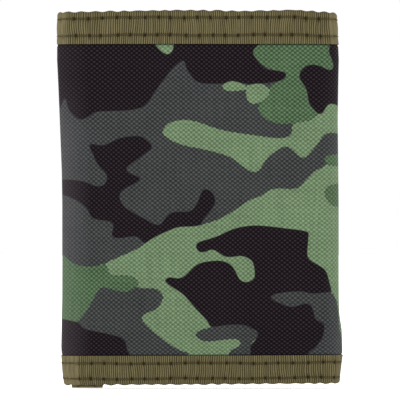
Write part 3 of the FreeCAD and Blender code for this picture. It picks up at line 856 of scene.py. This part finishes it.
def fold_profile(reach, thick, curl, rows):
    """Round a folded tape's cross-section: way from its edge, share of the way from the outer leg
    to the inner one, extra depth, the outward normal in depth and up, and 1 where ribs show."""
    near = [row + step for row in rows for step in (-0.7, -0.3, 0, 0.3, 0.7)]
    between = np.arange(1.4, reach - 1.2, 1.3)
    legs = np.array(sorted({reach, reach - 0.25, reach - 1, curl, *near, *between}, reverse=True))
    legs = legs[legs >= curl]
    arc = np.radians([22, 45, 67, 90, 113, 135, 158])
    sin, cos = np.sin(arc), np.cos(arc)
    leg, inside = np.zeros(len(legs)), np.zeros(4)
    way = np.concatenate([legs, curl * (1 - sin), legs[::-1], [reach, thick, thick, reach]])
    share = np.concatenate([leg, (1 - cos) / 2, leg + 1, [1, 1, 0, 0]])
    extra = np.concatenate([leg, 0 * arc, leg, [-thick, -thick, thick, thick]])
    out = np.concatenate([leg - 1, -cos, leg + 1, inside])
    up = np.concatenate([leg, sin, leg, inside])
    shown = np.concatenate([leg + 1, 0 * arc + 1, leg + 1, inside])
    return way, share, extra, out, up, shown


def between_rows(way):
    """A rounded rise from one stitch row to the next."""
    return np.sin(math.pi * np.clip((way - ROWS[0]) / (ROWS[1] - ROWS[0]), 0, 1))


def wander(along, row):
    """How far a stitch row strays from its line."""
    return 0.14 * np.sin(along / 6.5 + row) + 0.08 * np.sin(along / 2.3 + 2 * row)


def pressed(along, way, rows):
    """How deep the seams press a tape, and how dark they make it, at points of it."""
    sink, dark = np.zeros(np.broadcast(along, way).shape), 0.0
    for row, holes in rows:
        gap = np.abs(along[..., None] - holes).min(axis=-1)
        off = way - row - wander(along, row)
        line = np.exp(-((off / 0.42) ** 2))
        hole = np.exp(-((gap / 0.56) ** 2) - (off / 0.5) ** 2)
        sink = sink + 0.10 * line + 0.26 * hole
        dark = np.maximum(dark, np.maximum(0.6 * line, np.minimum(1, 2.2 * hole)))
    return sink, dark


def rib_lean(along, way):
    """How far a tape's ribs are pulled along it, by the seams and unevenly by hand."""
    bow = 0.22 * between_rows(way)
    tilt = 0.3 * np.sin(along / 8.3 + 1) * (way - 5) / 5
    return bow * np.sin(along / 13 + 2) + tilt + 0.1 * np.sin(along / 1.9) * np.sin(way / 1.7)


def relief(along, height, way, up, shown, fade, reach, rows):
    """How far a tape's face stands out at points of it, and how dark its seams make it."""
    sink, dark = pressed(np.broadcast_to(along, (len(along), len(way))), way, rows)
    gap = np.abs(along - rows[0][1]).min(axis=1)[:, None] / PITCH
    uneven = 0.3 + 0.14 * np.sin(along / 3.7) * np.sin(along / 9.1 + 1)
    rim = np.exp(-((reach - way) / 0.8) ** 2) * shown * 0.7
    scallop = uneven * (smooth(gap * 2) - 0.5) * (up + rim)
    ribs = 0.055 * height * (1 - 0.75 * fade)
    return shown * (ribs - sink + 0.1 * between_rows(way) + scallop), dark


def tape(name, start, end, edge, to_edge, reach, outer, inner, rows, seed, upright=False,
         curl=0.9, fades=NO_FADE):
    """A ribbed tape folded over an edge. to_edge is 1 where the edge is at the far end of across.
    outer and inner are its faces' depths, which may change along it, and rows are stitch rows as
    way from the edge and hole places. An upright tape runs along z, its ends pressed shut."""
    along, height = (v[:, None] for v in rib_stations(start, end, seed))
    way, share, extra, out, up, shown = fold_profile(reach, TAPE, curl, [r for r, _ in rows])
    s = edge - to_edge * way if upright else along
    fade = smooth((np.abs(np.interp(s, LINE_S, LINE_X)) - fades[0]) / 0.6) * fades[1]
    fade = fade * (np.abs(s) < R4)
    rise, dark = relief(along, height, way, up, shown, fade, reach, rows)
    to_end = np.minimum(along - start, end - along)
    closing = np.clip(1 - to_end / END_REACH, 0, 1) if upright else 0
    first, last = (face(along) if callable(face) else face for face in (outer, inner))
    middle = (first + last) / 2
    depth = first + (last - first) * share + extra + out * rise
    depth = middle + (depth - middle) * np.sqrt(1.01 - closing ** 2)
    across = edge - to_edge * way + to_edge * up * rise
    clear = smooth(to_end / 2) if upright else 1
    leant = along + shown * rib_lean(along, way) * clear
    points = place(across, leant, depth) if upright else place(leant, across, depth)
    stations, columns = points.shape[:2]
    groove = np.clip(0.5 - 0.5 * height - closing, 0, 1) * (1 - 0.8 * fade)
    hole = dark * shown * (1 - 0.6 * fade)
    values = {"along": along, "across": way + 40 * share, "groove": groove, "hole": hole,
              "fade": fade}
    values = {key: np.broadcast_to(v, (stations, columns)).ravel() for key, v in values.items()}
    return build(name, points.reshape(-1, 3), tube_faces(stations, columns), OLIVE_TAPE, values,
                 crease=55)


def stitch_paths(holes, start, end, where):
    """One small bowed path for each stitch whose middle is between start and end."""
    low, high = min(start, end), max(start, end)
    t = np.linspace(0, 1, 7)
    paths = []
    for a, b in zip(holes[:-1], holes[1:]):
        if low <= (a + b) / 2 < high:
            along = a + 0.25 + (b - a - 0.5) * t
            sink = 0.42 * (1 - np.sin(math.pi * t) ** 0.4)
            paths.append(where(along, sink))
    return paths


SEAM_SEEDS = {("top", 0): 11, ("top", 1): 12, ("bottom", 0): 21, ("bottom", 1): 22,
              ("lining", 0): 31}
SEAMS = {key: needle_holes(LINE_S[0] - 1, LINE_S[-1] + 4, seed)
         for key, seed in SEAM_SEEDS.items()}
# The edge that each long tape is folded over, and 1 where that is its top.
EDGES = {"top": (TOP, 1), "bottom": (0.0, -1), "lining": (LINING_TOP, 1)}
# Where the long tapes meet the side tapes.
STOPS = {"inner": on_inner(span("inner_flap_side_binding", "x")[0]),
         "outer": on_outer(span("outer_flap_side_binding", "x")[1])}


def seam_rows(kind):
    """The stitch rows of a tape as way from its edge and hole places."""
    return [(row, SEAMS[kind, n]) for n, row in enumerate(ROWS) if (kind, n) in SEAMS]


def tape_faces(kind):
    """Depths of a long tape's outer and inner faces."""
    if kind == "top":
        return -TAPE, SHELL + TAPE
    if kind == "bottom":
        return -TAPE, inside_depth
    return lambda s: lining_depth(s) - TAPE, lambda s: lining_depth(s) + 2 * TAPE


def long_tapes():
    """The tapes along the top, the bottom and the lining's top, each cut at the stretches' ends."""
    made = {}
    for number, (kind, (edge, to_edge)) in enumerate(EDGES.items()):
        curl = 0.6 if kind == "lining" else 0.95
        for order, (stretch, (start, end, *_)) in enumerate(STRETCHES.items()):
            piece = tape(f"tape_{kind}_{stretch}", start, STOPS.get(stretch, end), edge, to_edge,
                         COVER, *tape_faces(kind), seam_rows(kind), 100 + 10 * number + order,
                         curl=curl, fades=FADES.get((kind, stretch), FOLD_FADE))
            nodes = [f"{part}_{kind}_binding" for part in PARTS[stretch]]
            made[kind, stretch] = bend(piece, stretch, "binding_tape", *nodes)
    return made


def row_paths(kind, row, start, end, side):
    """The stitches of one row of a long tape, on its outer or inner face."""
    edge, to_edge = EDGES[kind]
    face = tape_faces(kind)[0 if side < 0 else 1]

    def where(along, sink):
        depth = face(along) if callable(face) else face
        way = ROWS[row] + wander(along, ROWS[row])
        return place(along, edge - to_edge * way, depth + side * (0.06 - sink))
    return stitch_paths(SEAMS[kind, row], start, end, where)


def long_stitches():
    """The threads of the long tapes, one piece for each stretch."""
    nodes = {"centre": ["centre_stitching"], "left": ["inner_spine_stitching"], "inner": [],
             "outer": ["outer_spine_stitching"]}
    made = {}
    for stretch, (start, end, *_) in STRETCHES.items():
        end = STOPS.get(stretch, end)
        paths = []
        for kind, row in SEAMS:
            for side in ((1,) if kind == "lining" else (-1, 1)):
                paths += row_paths(kind, row, start, end, side)
        piece = tubes("stitches_" + stretch, THREAD, paths, THREAD_RADIUS, UP, sides=7)
        made[stretch] = bend(piece, stretch, "thread", *nodes[stretch])
    return made


def sew(name, paths, body, *nodes, radius=THREAD_RADIUS, ref=UP, sides=6):
    """Stitches on one body, as one piece."""
    return ride(tubes(name, THREAD, paths, radius, ref, sides), body, "thread", *nodes)


def side_tape(flap):
    """The upright tape down a flap's free edge with its two stitch rows."""
    node = flap + "_side_binding"
    on_flap, deep, free_x = FLAPS[flap]
    low, high = span(node, "z")
    near, far = depths(node, deep)
    edge = on_flap(free_x)
    way_out = 1 if edge > 0 else -1
    rows = [(row, needle_holes(low - 1, high + 3, 50 + n)) for n, row in enumerate(ROWS)]

    def inner(z):
        """Round shell and lining, and above the lining's top round the shell alone."""
        return far - (far - SHELL - TAPE) * smooth((z - LINING_TOP - 0.3) / 3)

    piece = tape("tape_side_" + flap, low, high, edge, way_out, COVER, near, inner, rows, 60,
                 upright=True, curl=1.1)
    ride(piece, flap, "binding_tape", node)
    paths = []
    for row, holes in rows:
        for side in (-1, 1):
            def where(along, sink):
                across = edge - way_out * (row + wander(along, row))
                face = near if side < 0 else inner(along)
                return place(across, along, face + side * (0.06 - sink))
            paths += stitch_paths(holes, low + SEAM_STOP, high - SEAM_STOP, where)
    return [piece, sew("stitches_side_" + flap, paths, flap, flap + "_stitching",
                       ref=(0.0, 1.0, 0.0), sides=7)]


# ---- Inside: pockets, window, coin bag, hook and loop ----

def pockets():
    """Three stepped card pockets on the middle panel, each with a narrow taped top."""
    half, row = PANEL - 1.5, 3.6
    for number, name in enumerate(("back", "middle", "front")):
        node = "card_pocket_" + name
        low, high = span(node, "z")
        s, z = steps(-half, half, 2.0), steps(low, high, 2.0)
        grid_s, grid_z = np.meshgrid(s, z, indexing="ij")
        belly = 0.15 * np.cos(grid_s / half * math.pi / 2) * np.sin(grid_z / high * math.pi)
        faces = (pocket_depth(grid_s, grid_z, face + belly) for face in depths(node))
        piece = ride(slab(node, LINING, s, z, *faces), "centre", "lining_fabric", node)
        edge_low, edge_high = span(node + "_binding", "z")
        first, last = depths(node + "_binding")
        holes = needle_holes(-half, half, 70 + number)
        strip = tape(node + "_tape", -half, half, edge_high, 1, edge_high - edge_low, first, last,
                     [(row, holes)], 80 + number, curl=0.5)
        ride(strip, "centre", "binding_tape", node + "_binding")

        def where(along, sink):
            return place(along, edge_high - row - wander(along, row), last + 0.06 - sink)
        paths = stitch_paths(holes, -half + 1, half - 1, where)
        threads = sew(node + "_stitches", paths, "centre", radius=0.15)
        declare(piece, -half, half, low, high, [strip, threads])


FRAME_BORDER, FRAME_SEAM = 6.0, 1.3


def flat_sheet(name, node, flap, material, slot, start, end, cell=2.0):
    """A flat sheet on a flap, from one place across it to another, at its CAD node's heights."""
    on_flap, deep, _ = FLAPS[flap]
    s, z = steps(on_flap(start), on_flap(end), cell), steps(*span(node, "z"), cell)
    return ride(slab(name, material, s, z, *depths(node, deep)), flap, slot, node)


def frame_ring(node):
    """The flat sewn frame round the window, with mitred corners and softened edges."""
    x0, x1, z0, z1 = area(node)
    near, far = depths(node, INNER_DEEP)
    corners = np.array([(x0, z0), (x1, z0), (x1, z1), (x0, z1)])
    inward = np.array([(1, 1), (-1, 1), (-1, -1), (1, -1)])
    way = np.array([0, 0.25, 0.9, FRAME_SEAM, 1.7, FRAME_BORDER / 2])
    way = np.concatenate([way, FRAME_BORDER - way[-2::-1]])
    rise = np.array([-0.2, 0, 0, -0.12, 0, 0.1, 0, -0.12, 0, 0, -0.2])
    stations = []
    for a, b, ia, ib in zip(corners, np.roll(corners, -1, 0), inward, np.roll(inward, -1, 0)):
        for t in np.arange(0, 1, 1 / max(4, round(np.abs(b - a).max() / 1.2))):
            stations.append((a + (b - a) * t)[None] + way[:, None] * (ia + (ib - ia) * t)[None])
    outline = np.array(stations)
    outline = np.concatenate([outline, outline[:, ::-1]], axis=1)
    depth = np.concatenate([far + rise, np.full(len(way), near)])
    points = place(on_inner(outline[..., 0]), outline[..., 1], depth)
    index = np.arange(points[..., 0].size).reshape(points.shape[:2])
    after = np.roll(index, -1, axis=0)
    faces = np.stack([index, after, np.roll(after, -1, axis=1), np.roll(index, -1, axis=1)], -1)
    values = {"along": outline[..., 0].ravel(), "across": outline[..., 1].ravel()}
    return build(node, points.reshape(-1, 3), faces.reshape(-1, 4).tolist(), LINING, values)


def frame_paths(node):
    """The stitches near both edges of the window's frame."""
    x0, x1, z0, z1 = area(node)
    face = depths(node, INNER_DEEP)[1] + 0.03
    paths = []
    for inset in (FRAME_SEAM, FRAME_BORDER - FRAME_SEAM):
        for level in (z0 + inset, z1 - inset):
            paths += stitch_paths(needle_holes(x0 + inset, x1 - inset, 90), x0, x1,
                                  lambda along, sink: place(on_inner(along), level, face - sink))
        for x in (x0 + inset, x1 - inset):
            paths += stitch_paths(needle_holes(z0 + inset, z1 - inset, 91), z0, z1,
                                  lambda along, sink: place(on_inner(x), along, face - sink))
    return paths


def window():
    """The clear identity-card window on the inner flap's lining, in its sewn frame."""
    node = "id_window_sheet"
    x0, x1, z0, z1 = area(node)
    piece = flat_sheet(node, node, "inner_flap", VINYL, "clear_vinyl", x0, x1)
    ring = frame_ring("id_window_frame")
    ride(ring, "inner_flap", "lining_fabric", "id_window_frame")
    threads = sew("id_window_stitches", frame_paths("id_window_frame"), "inner_flap", radius=0.14,
                  ref=(0.03, 1.0, 0.05))
    declare(piece, x0, x1, z0, z1, [ring, threads])


def coin_bag():
    """The black bag behind the zip, inside the outer flap."""
    node = "coin_pocket_lining"
    x0, x1, z0, z1 = area(node)
    piece = flat_sheet("coin_bag", node, "outer_flap", LINING, "lining_fabric", x1, x0)
    declare(piece, x0, x1, z0, z1, [])


HOOK_PITCH = 1.25
LOOP_COUNT = 2600


def closure_base(name, node, flap, material, thick, side):
    """The woven base of a hook or loop strip, with a sewn-down border. It faces inwards where side
    is 1. Returns its limits, the depth of its back and that of the tips."""
    on_flap, deep, _ = FLAPS[flap]
    x0, x1, z0, z1 = area(node)
    back, tip = depths(node, deep)[::side]
    s, z = steps(*sorted((on_flap(x0), on_flap(x1))), 0.8), steps(z0, z1, 0.8)
    grid_s, grid_z = np.meshgrid(s, z, indexing="ij")
    away = np.minimum.reduce([grid_s - s[0], s[-1] - grid_s, grid_z - z0, z1 - grid_z])
    rise = thick * (0.6 + 0.4 * smooth(away / 0.5)) - 0.15 * np.exp(-(((away - 1.4) / 0.4) ** 2))
    piece = slab(name, material, s, z, *(back, back + side * rise)[::side])
    return piece, (s[0], s[-1], z0, z1, back, tip)


def hook_strip():
    """Hook tape on the outer flap's lining: rows of small bent hooks on a woven base."""
    base, (s0, s1, z0, z1, back, tip) = closure_base("hook_base", "hook_strip", "outer_flap",
                                                     HOOKS, 0.35, 1)
    ride(base, "outer_flap", "hook_tape", "hook_strip")
    paths = []
    t = np.linspace(0, 1, 6)
    stem, rise = back + 0.3, tip - 0.08 - back - 0.3
    for row, level in enumerate(np.arange(z0 + 2.4, z1 - 2.2, HOOK_PITCH)):
        odd = row % 2
        lean = (1 if odd else -1) * 0.42 * (1 - np.cos(t * 2.6)) / 1.8
        for s in np.arange(s0 + 2.4 + 0.35 * odd, s1 - 2.2, HOOK_PITCH):
            paths.append(place(s + lean * 0.6, level + lean, stem + rise * np.sin(t * 2.3)))
    hooks = tubes("hook_field", HOOKS, paths, 0.12, (1.0, 0.2, 0.1), sides=4)
    ride(hooks, "outer_flap", "hook_tape")
    declare(base, s0, s1, z0, z1, [hooks])


def loop_strip():
    """Loop tape on the inner flap's outside: a fuzz of small loops on a woven base."""
    base, (s0, s1, z0, z1, back, _) = closure_base("loop_base", "loop_strip", "inner_flap",
                                                   LOOPS, 0.6, -1)
    ride(base, "inner_flap", "loop_tape", "loop_strip")
    rng = np.random.default_rng(5)
    across, up = (rng.uniform(low + 2, high - 2, LOOP_COUNT) for low, high in ((s0, s1), (z0, z1)))
    turns = rng.uniform(0, 2 * math.pi, LOOP_COUNT)
    sizes = rng.uniform(0.35, 0.6, LOOP_COUNT)
    t = np.linspace(0, math.pi, 6)
    paths = []
    for s, z, turn, size in zip(across, up, turns, sizes):
        swing = size * np.cos(t)
        rise = (0.45 + 0.55 * size) * np.sin(t)
        paths.append(place(s + swing * math.cos(turn), z + swing * math.sin(turn),
                           back - 0.45 - rise))
    loops = tubes("loop_field", LOOPS, paths, 0.05, (0.31, 0.17, 0.93), sides=4)
    ride(loops, "inner_flap", "loop_tape")
    declare(base, s0, s1, z0, z1, [loops])


# ---- The zip ----

# The coil's pitch and its wire's radius.
TOOTH, WIRE = 1.2, 0.28
SLIDER_FACE = FRONT + 16.5


def zip_side(part):
    """One side of the zip: its tape, and a coil wound from one long wire."""
    node = "zip_tape_" + part
    x0, x1, z0, z1 = area(node)
    end = x1 - 3
    piece = flat_sheet(node, node, "outer_flap", ZIP_TAPE, "zip_tape", end, x0, 1.5)
    declare(piece, x0, end, z0, z1, [])
    node = "zip_coil_" + part
    x0, x1, z0, z1 = area(node)
    near, far = depths(node, OUTER_DEEP)
    away = z0 if part == "lower" else z1
    reach = (sum(span("zip_slider", "z")) / 2 - away) * 1.14
    t = np.arange(0, (x1 - x0) / TOOTH, 1 / 16)
    turn = 2 * math.pi * t
    z = away + reach / 2 * (1 - np.cos(turn)) + np.sign(reach) * WIRE
    depth = (near + far) / 2 - (far - near - 0.6) / 2 * np.sin(turn)
    path = place(on_outer(x0 + TOOTH * t), z, depth)
    coil = tubes(node, ZIP_COIL, [path], WIRE, (1.0, 0.0, 0.02), sides=7)
    ride(coil, "outer_flap", "zip_coil", node)


def plate(name, outlines, middle_y, thick, round_edge):
    """A flat metal part lying in the wallet's face, from closed x, z outlines, with rounded edges."""
    curve = bpy.data.curves.new(name, "CURVE")
    curve.dimensions = "2D"
    curve.fill_mode = "BOTH"
    curve.extrude = (thick / 2 - round_edge) * MM
    curve.bevel_depth = round_edge * MM
    curve.bevel_resolution = 2
    curve.offset = -round_edge * MM
    for outline in outlines:
        spline = curve.splines.new("POLY")
        spline.points.add(len(outline) - 1)
        for point, (x, z) in zip(spline.points, outline):
            point.co = (x * MM, z * MM, 0, 1)
        spline.use_cyclic_u = True
    holder = add(name + "_outline", curve)
    shape = bpy.data.meshes.new_from_object(holder)
    bpy.data.objects.remove(holder)
    local = places(shape) / MM
    faces = [list(p.vertices) for p in shape.polygons]
    points = np.stack([local[:, 0], middle_y + local[:, 2], local[:, 1]], axis=1)
    return build(name, points, faces, METAL, crease=35)


def round_box(x0, x1, z0, z1, radius, parts=6):
    """A rectangle's outline with rounded corners."""
    made = []
    for k, (cx, cz) in enumerate(((x1, z1), (x0, z1), (x0, z0), (x1, z0))):
        sx, sz = (1 if cx == x1 else -1), (1 if cz == z1 else -1)
        for t in np.linspace(0, math.pi / 2, parts) + k * math.pi / 2:
            made.append((cx + radius * (math.cos(t) - sx), cz + radius * (math.sin(t) - sz)))
    return made


def join(name, parts):
    """Several metal objects as one piece."""
    points, faces, first = [], [], 0
    for part in parts:
        points.append(places(part.data) / MM)
        faces += [[first + v for v in p.vertices] for p in part.data.polygons]
        first += len(part.data.vertices)
        bpy.data.objects.remove(part)
    return build(name, np.concatenate(points), faces, METAL, crease=35)


def shield(x0, x1, z0, z1):
    """The slider's outline from above: wide where the coils part, and waisted behind."""
    middle, half = (z0 + z1) / 2, (z1 - z0) / 2
    side = [(x0, 0.72 * half), (x0 + 0.8, half), ((x0 + x1) / 2 + 0.6, half - 0.1),
            (x1 - 0.5, 0.62 * half), (x1, 0.3 * half)]
    return rounded([(x, middle - z) for x, z in side] + [(x, middle + z) for x, z in side[::-1]], 3)


def slider():
    """The zip slider: a waisted face plate with side flanges and an arch that holds the puller."""
    x0, x1, z0, z1 = limits = area("zip_slider")
    y0, y1 = span("zip_slider", "y")
    parts = [plate("slider_face", [shield(*limits)], SLIDER_FACE + 0.33, 0.66, 0.2),
             plate("slider_back", [shield(*limits)], y0 + 0.25, 0.5, 0.15)]
    for z in (z0 + 0.45, z1 - 0.45):
        flange = round_box(x0 + 1.0, x1 - 1.6, z - 0.4, z + 0.4, 0.3)
        parts.append(plate("slider_flange", [flange], SLIDER_FACE - 0.2, 1.0, 0.15))
    t = np.linspace(0, math.pi, 15)
    arch_x = (x0 + x1) / 2 - 3.1 * np.cos(t)
    arch_y = SLIDER_FACE + 0.25 + (y1 - SLIDER_FACE - 0.62) * np.sin(t) ** 0.55
    path = np.stack([arch_x, arch_y, np.full_like(t, (z0 + z1) / 2)], axis=1)
    parts.append(tubes("slider_arch", METAL, [path], 0.4, UP, sides=12, flat=1.9))
    ride(join("zip_slider_body", parts), "zip_slider", "zip_metal", "zip_slider")


def dense(outline, cell):
    """An outline with points added so that none are further apart than a cell."""
    made = []
    for (ax, az), (bx, bz) in zip(outline, outline[1:] + outline[:1]):
        parts = max(1, math.ceil(math.hypot(bx - ax, bz - az) / cell))
        made += [(ax + (bx - ax) * k / parts, az + (bz - az) * k / parts) for k in range(parts)]
    return made


def puller():
    """The puller: a tapering flat tab with an eye round the slider's arch and a hole at its tip."""
    x0, x1, z0, z1 = area("zip_puller")
    y0, y1 = span("zip_puller", "y")
    middle = (z0 + z1) / 2

    def ring(radius):
        return [(x0 + 3.2 + radius * math.cos(a), middle + radius * math.sin(a))
                for a in np.linspace(0, 2 * math.pi, 24, endpoint=False)]

    def narrowing(x):
        return 1 - 0.2 * smooth((x - x0 - 6) / 7) * smooth((x1 - x) / 3)

    waist = [(x, middle + (z - middle) * narrowing(x))
             for x, z in dense(round_box(x0, x1, z0, z1, 2.0, 8), 1.0)]
    eye = round_box(x1 - 5.1, x1 - 0.7, middle - 1.3, middle + 1.3, 0.6, 5)
    tab = plate("puller_tab", [waist, eye, ring(1.3)], (y0 + y1) / 2, y1 - y0, 0.14)
    ridge = [(x, y1 - 0.02, z) for x, z in ring(2.0)]
    rim = tubes("puller_ring", METAL, [ridge + ridge[:1]], 0.16, (0.0, 1.0, 0.0), sides=8)
    ride(join("zip_puller_tab", [tab, rim]), "zip_puller", "zip_metal", "zip_puller")


def zip_ends():
    """The metal end stop, the sewn bar at the tab, and topstitching beside the slot."""
    x0, x1, z0, z1 = area("zip_end_stop")
    y0, y1 = span("zip_end_stop", "y")
    stop = plate("zip_stop_clip", [round_box(x0, x1, z0 + 0.6, z1 - 0.6, 0.3)],
                 (y0 + y1) / 2 + 0.1, y1 - y0, 0.15)
    ride(stop, "outer_flap", "zip_metal", "zip_end_stop")
    low, high = span("zip_end_tab", "z")
    left, right = span("outer_flap_side_binding", "x")[1], ZIP_TAB + 2
    paths = []
    for level in (low - 1.5, high + 1.5):
        paths += stitch_paths(needle_holes(left, right, 95), left, right,
                              lambda along, sink: place(on_outer(along), level, sink - 0.12))
    x = ZIP_TAB + 1.2 + np.array([-0.9, -0.3, 0.3, 0.9])
    slant, dip = np.array([-1, -0.3, 0.3, 1]), np.array([0.1, -0.16, -0.16, 0.1])
    for number, level in enumerate(np.arange(low - 1.2, high + 1.2, 0.42)):
        paths.append(place(on_outer(x), level + 0.1 * (-1) ** number * slant, dip))
    sew("zip_stitches", paths, "outer_flap", radius=0.16, ref=(0.05, 0.2, 1.0))


# ---- Putting it together ----

def wallet():
    """Every piece of the wallet."""
    cloth = shell()
    tapes = long_tapes()
    threads = long_stitches()
    sides = {"inner": side_tape("inner_flap"), "outer": side_tape("outer_flap")}
    trims = {stretch: [tapes[kind, stretch] for kind in EDGES] + [threads[stretch]]
             for stretch in STRETCHES}
    for stretch in ("centre", "left", "inner"):
        declare(cloth[stretch], STRETCHES[stretch][0], free_end(stretch), CLOTH_LOW, CLOTH_HIGH,
                trims[stretch] + sides.get(stretch, []))
    tab = on_outer(ZIP_TAB)
    declare(cloth["outer_fold"], RIGHT_CUT, tab, CLOTH_LOW, CLOTH_HIGH, trims["outer"])
    for part in ("lower", "upper"):
        low, high = span("outer_flap_shell_" + part, "z")
        declare(cloth["outer_" + part], tab, free_end("outer"), low, high,
                sides["outer"] if part == "lower" else [])
    lining()
    pockets()
    window()
    coin_bag()
    hook_strip()
    loop_strip()
    zip_side("lower")
    zip_side("upper")
    zip_ends()
    slider()
    puller()


# ---- Floor, light and camera ----

def floor():
    """A plain pale floor."""
    m = Material("floor", Roughness=0.9, Specular_IOR_Level=0.1)
    m.shader.inputs["Emission Color"].default_value = (1, 1, 1, 1)
    m.shader.inputs["Emission Strength"].default_value = 0.6
    m.finish(m.mix(m.speckle(40.0, 2.0), linear(244, 244, 243), linear(250, 250, 250)))
    size = 6.0
    mesh = bpy.data.meshes.new("floor")
    mesh.from_pydata([(-size, -size, 0), (size, -size, 0), (size, size, 0), (-size, size, 0)], [],
                     [(0, 1, 2, 3)])
    mesh.materials.append(m.made)
    add("floor", mesh)


LIGHTS_AIM = (0, 0, 0.06)


def area_light(name, place_at, size, power):
    """A soft square light aimed at the wallet, in metres and watts."""
    light = bpy.data.lights.new(name, "AREA")
    light.size = size
    light.energy = power
    made = add(name, light)
    made.location = place_at
    direction = np.array(LIGHTS_AIM) - np.array(place_at)
    made.rotation_euler = Vector(direction).to_track_quat("-Z", "Y").to_euler()


def lights():
    """Even studio light: a white world, a high front key and fills from both sides and behind."""
    world = bpy.data.worlds.new("studio")
    world.use_nodes = True
    background = world.node_tree.nodes["Background"]
    background.inputs["Color"].default_value = (1, 1, 1, 1)
    background.inputs["Strength"].default_value = 1.0
    bpy.context.scene.world = world
    area_light("key", (-0.25, -0.55, 0.65), 0.35, 1.0)
    area_light("left_fill", (-0.7, -0.25, 0.2), 0.4, 0.8)
    area_light("right_fill", (0.7, -0.2, 0.2), 0.4, 0.5)
    area_light("back", (0.2, 0.7, 0.5), 0.5, 1.0)


VIEW_WIDTH = 131.4
VIEW_MIDDLE = (0.5, 62.0)
CAMERA_AWAY, SENSOR = 2500.0, 36.0


def camera():
    """A long lens straight on to the front."""
    data = bpy.data.cameras.new("camera")
    data.sensor_width = SENSOR
    data.lens = SENSOR * CAMERA_AWAY / VIEW_WIDTH
    made = add("camera", data)
    made.location = (VIEW_MIDDLE[0] * MM, (FRONT - CAMERA_AWAY) * MM, VIEW_MIDDLE[1] * MM)
    made.rotation_euler = (math.pi / 2, 0, 0)
    bpy.context.scene.camera = made


wallet()
floor()
lights()
camera()
bpy.context.scene.view_settings.view_transform = "Standard"
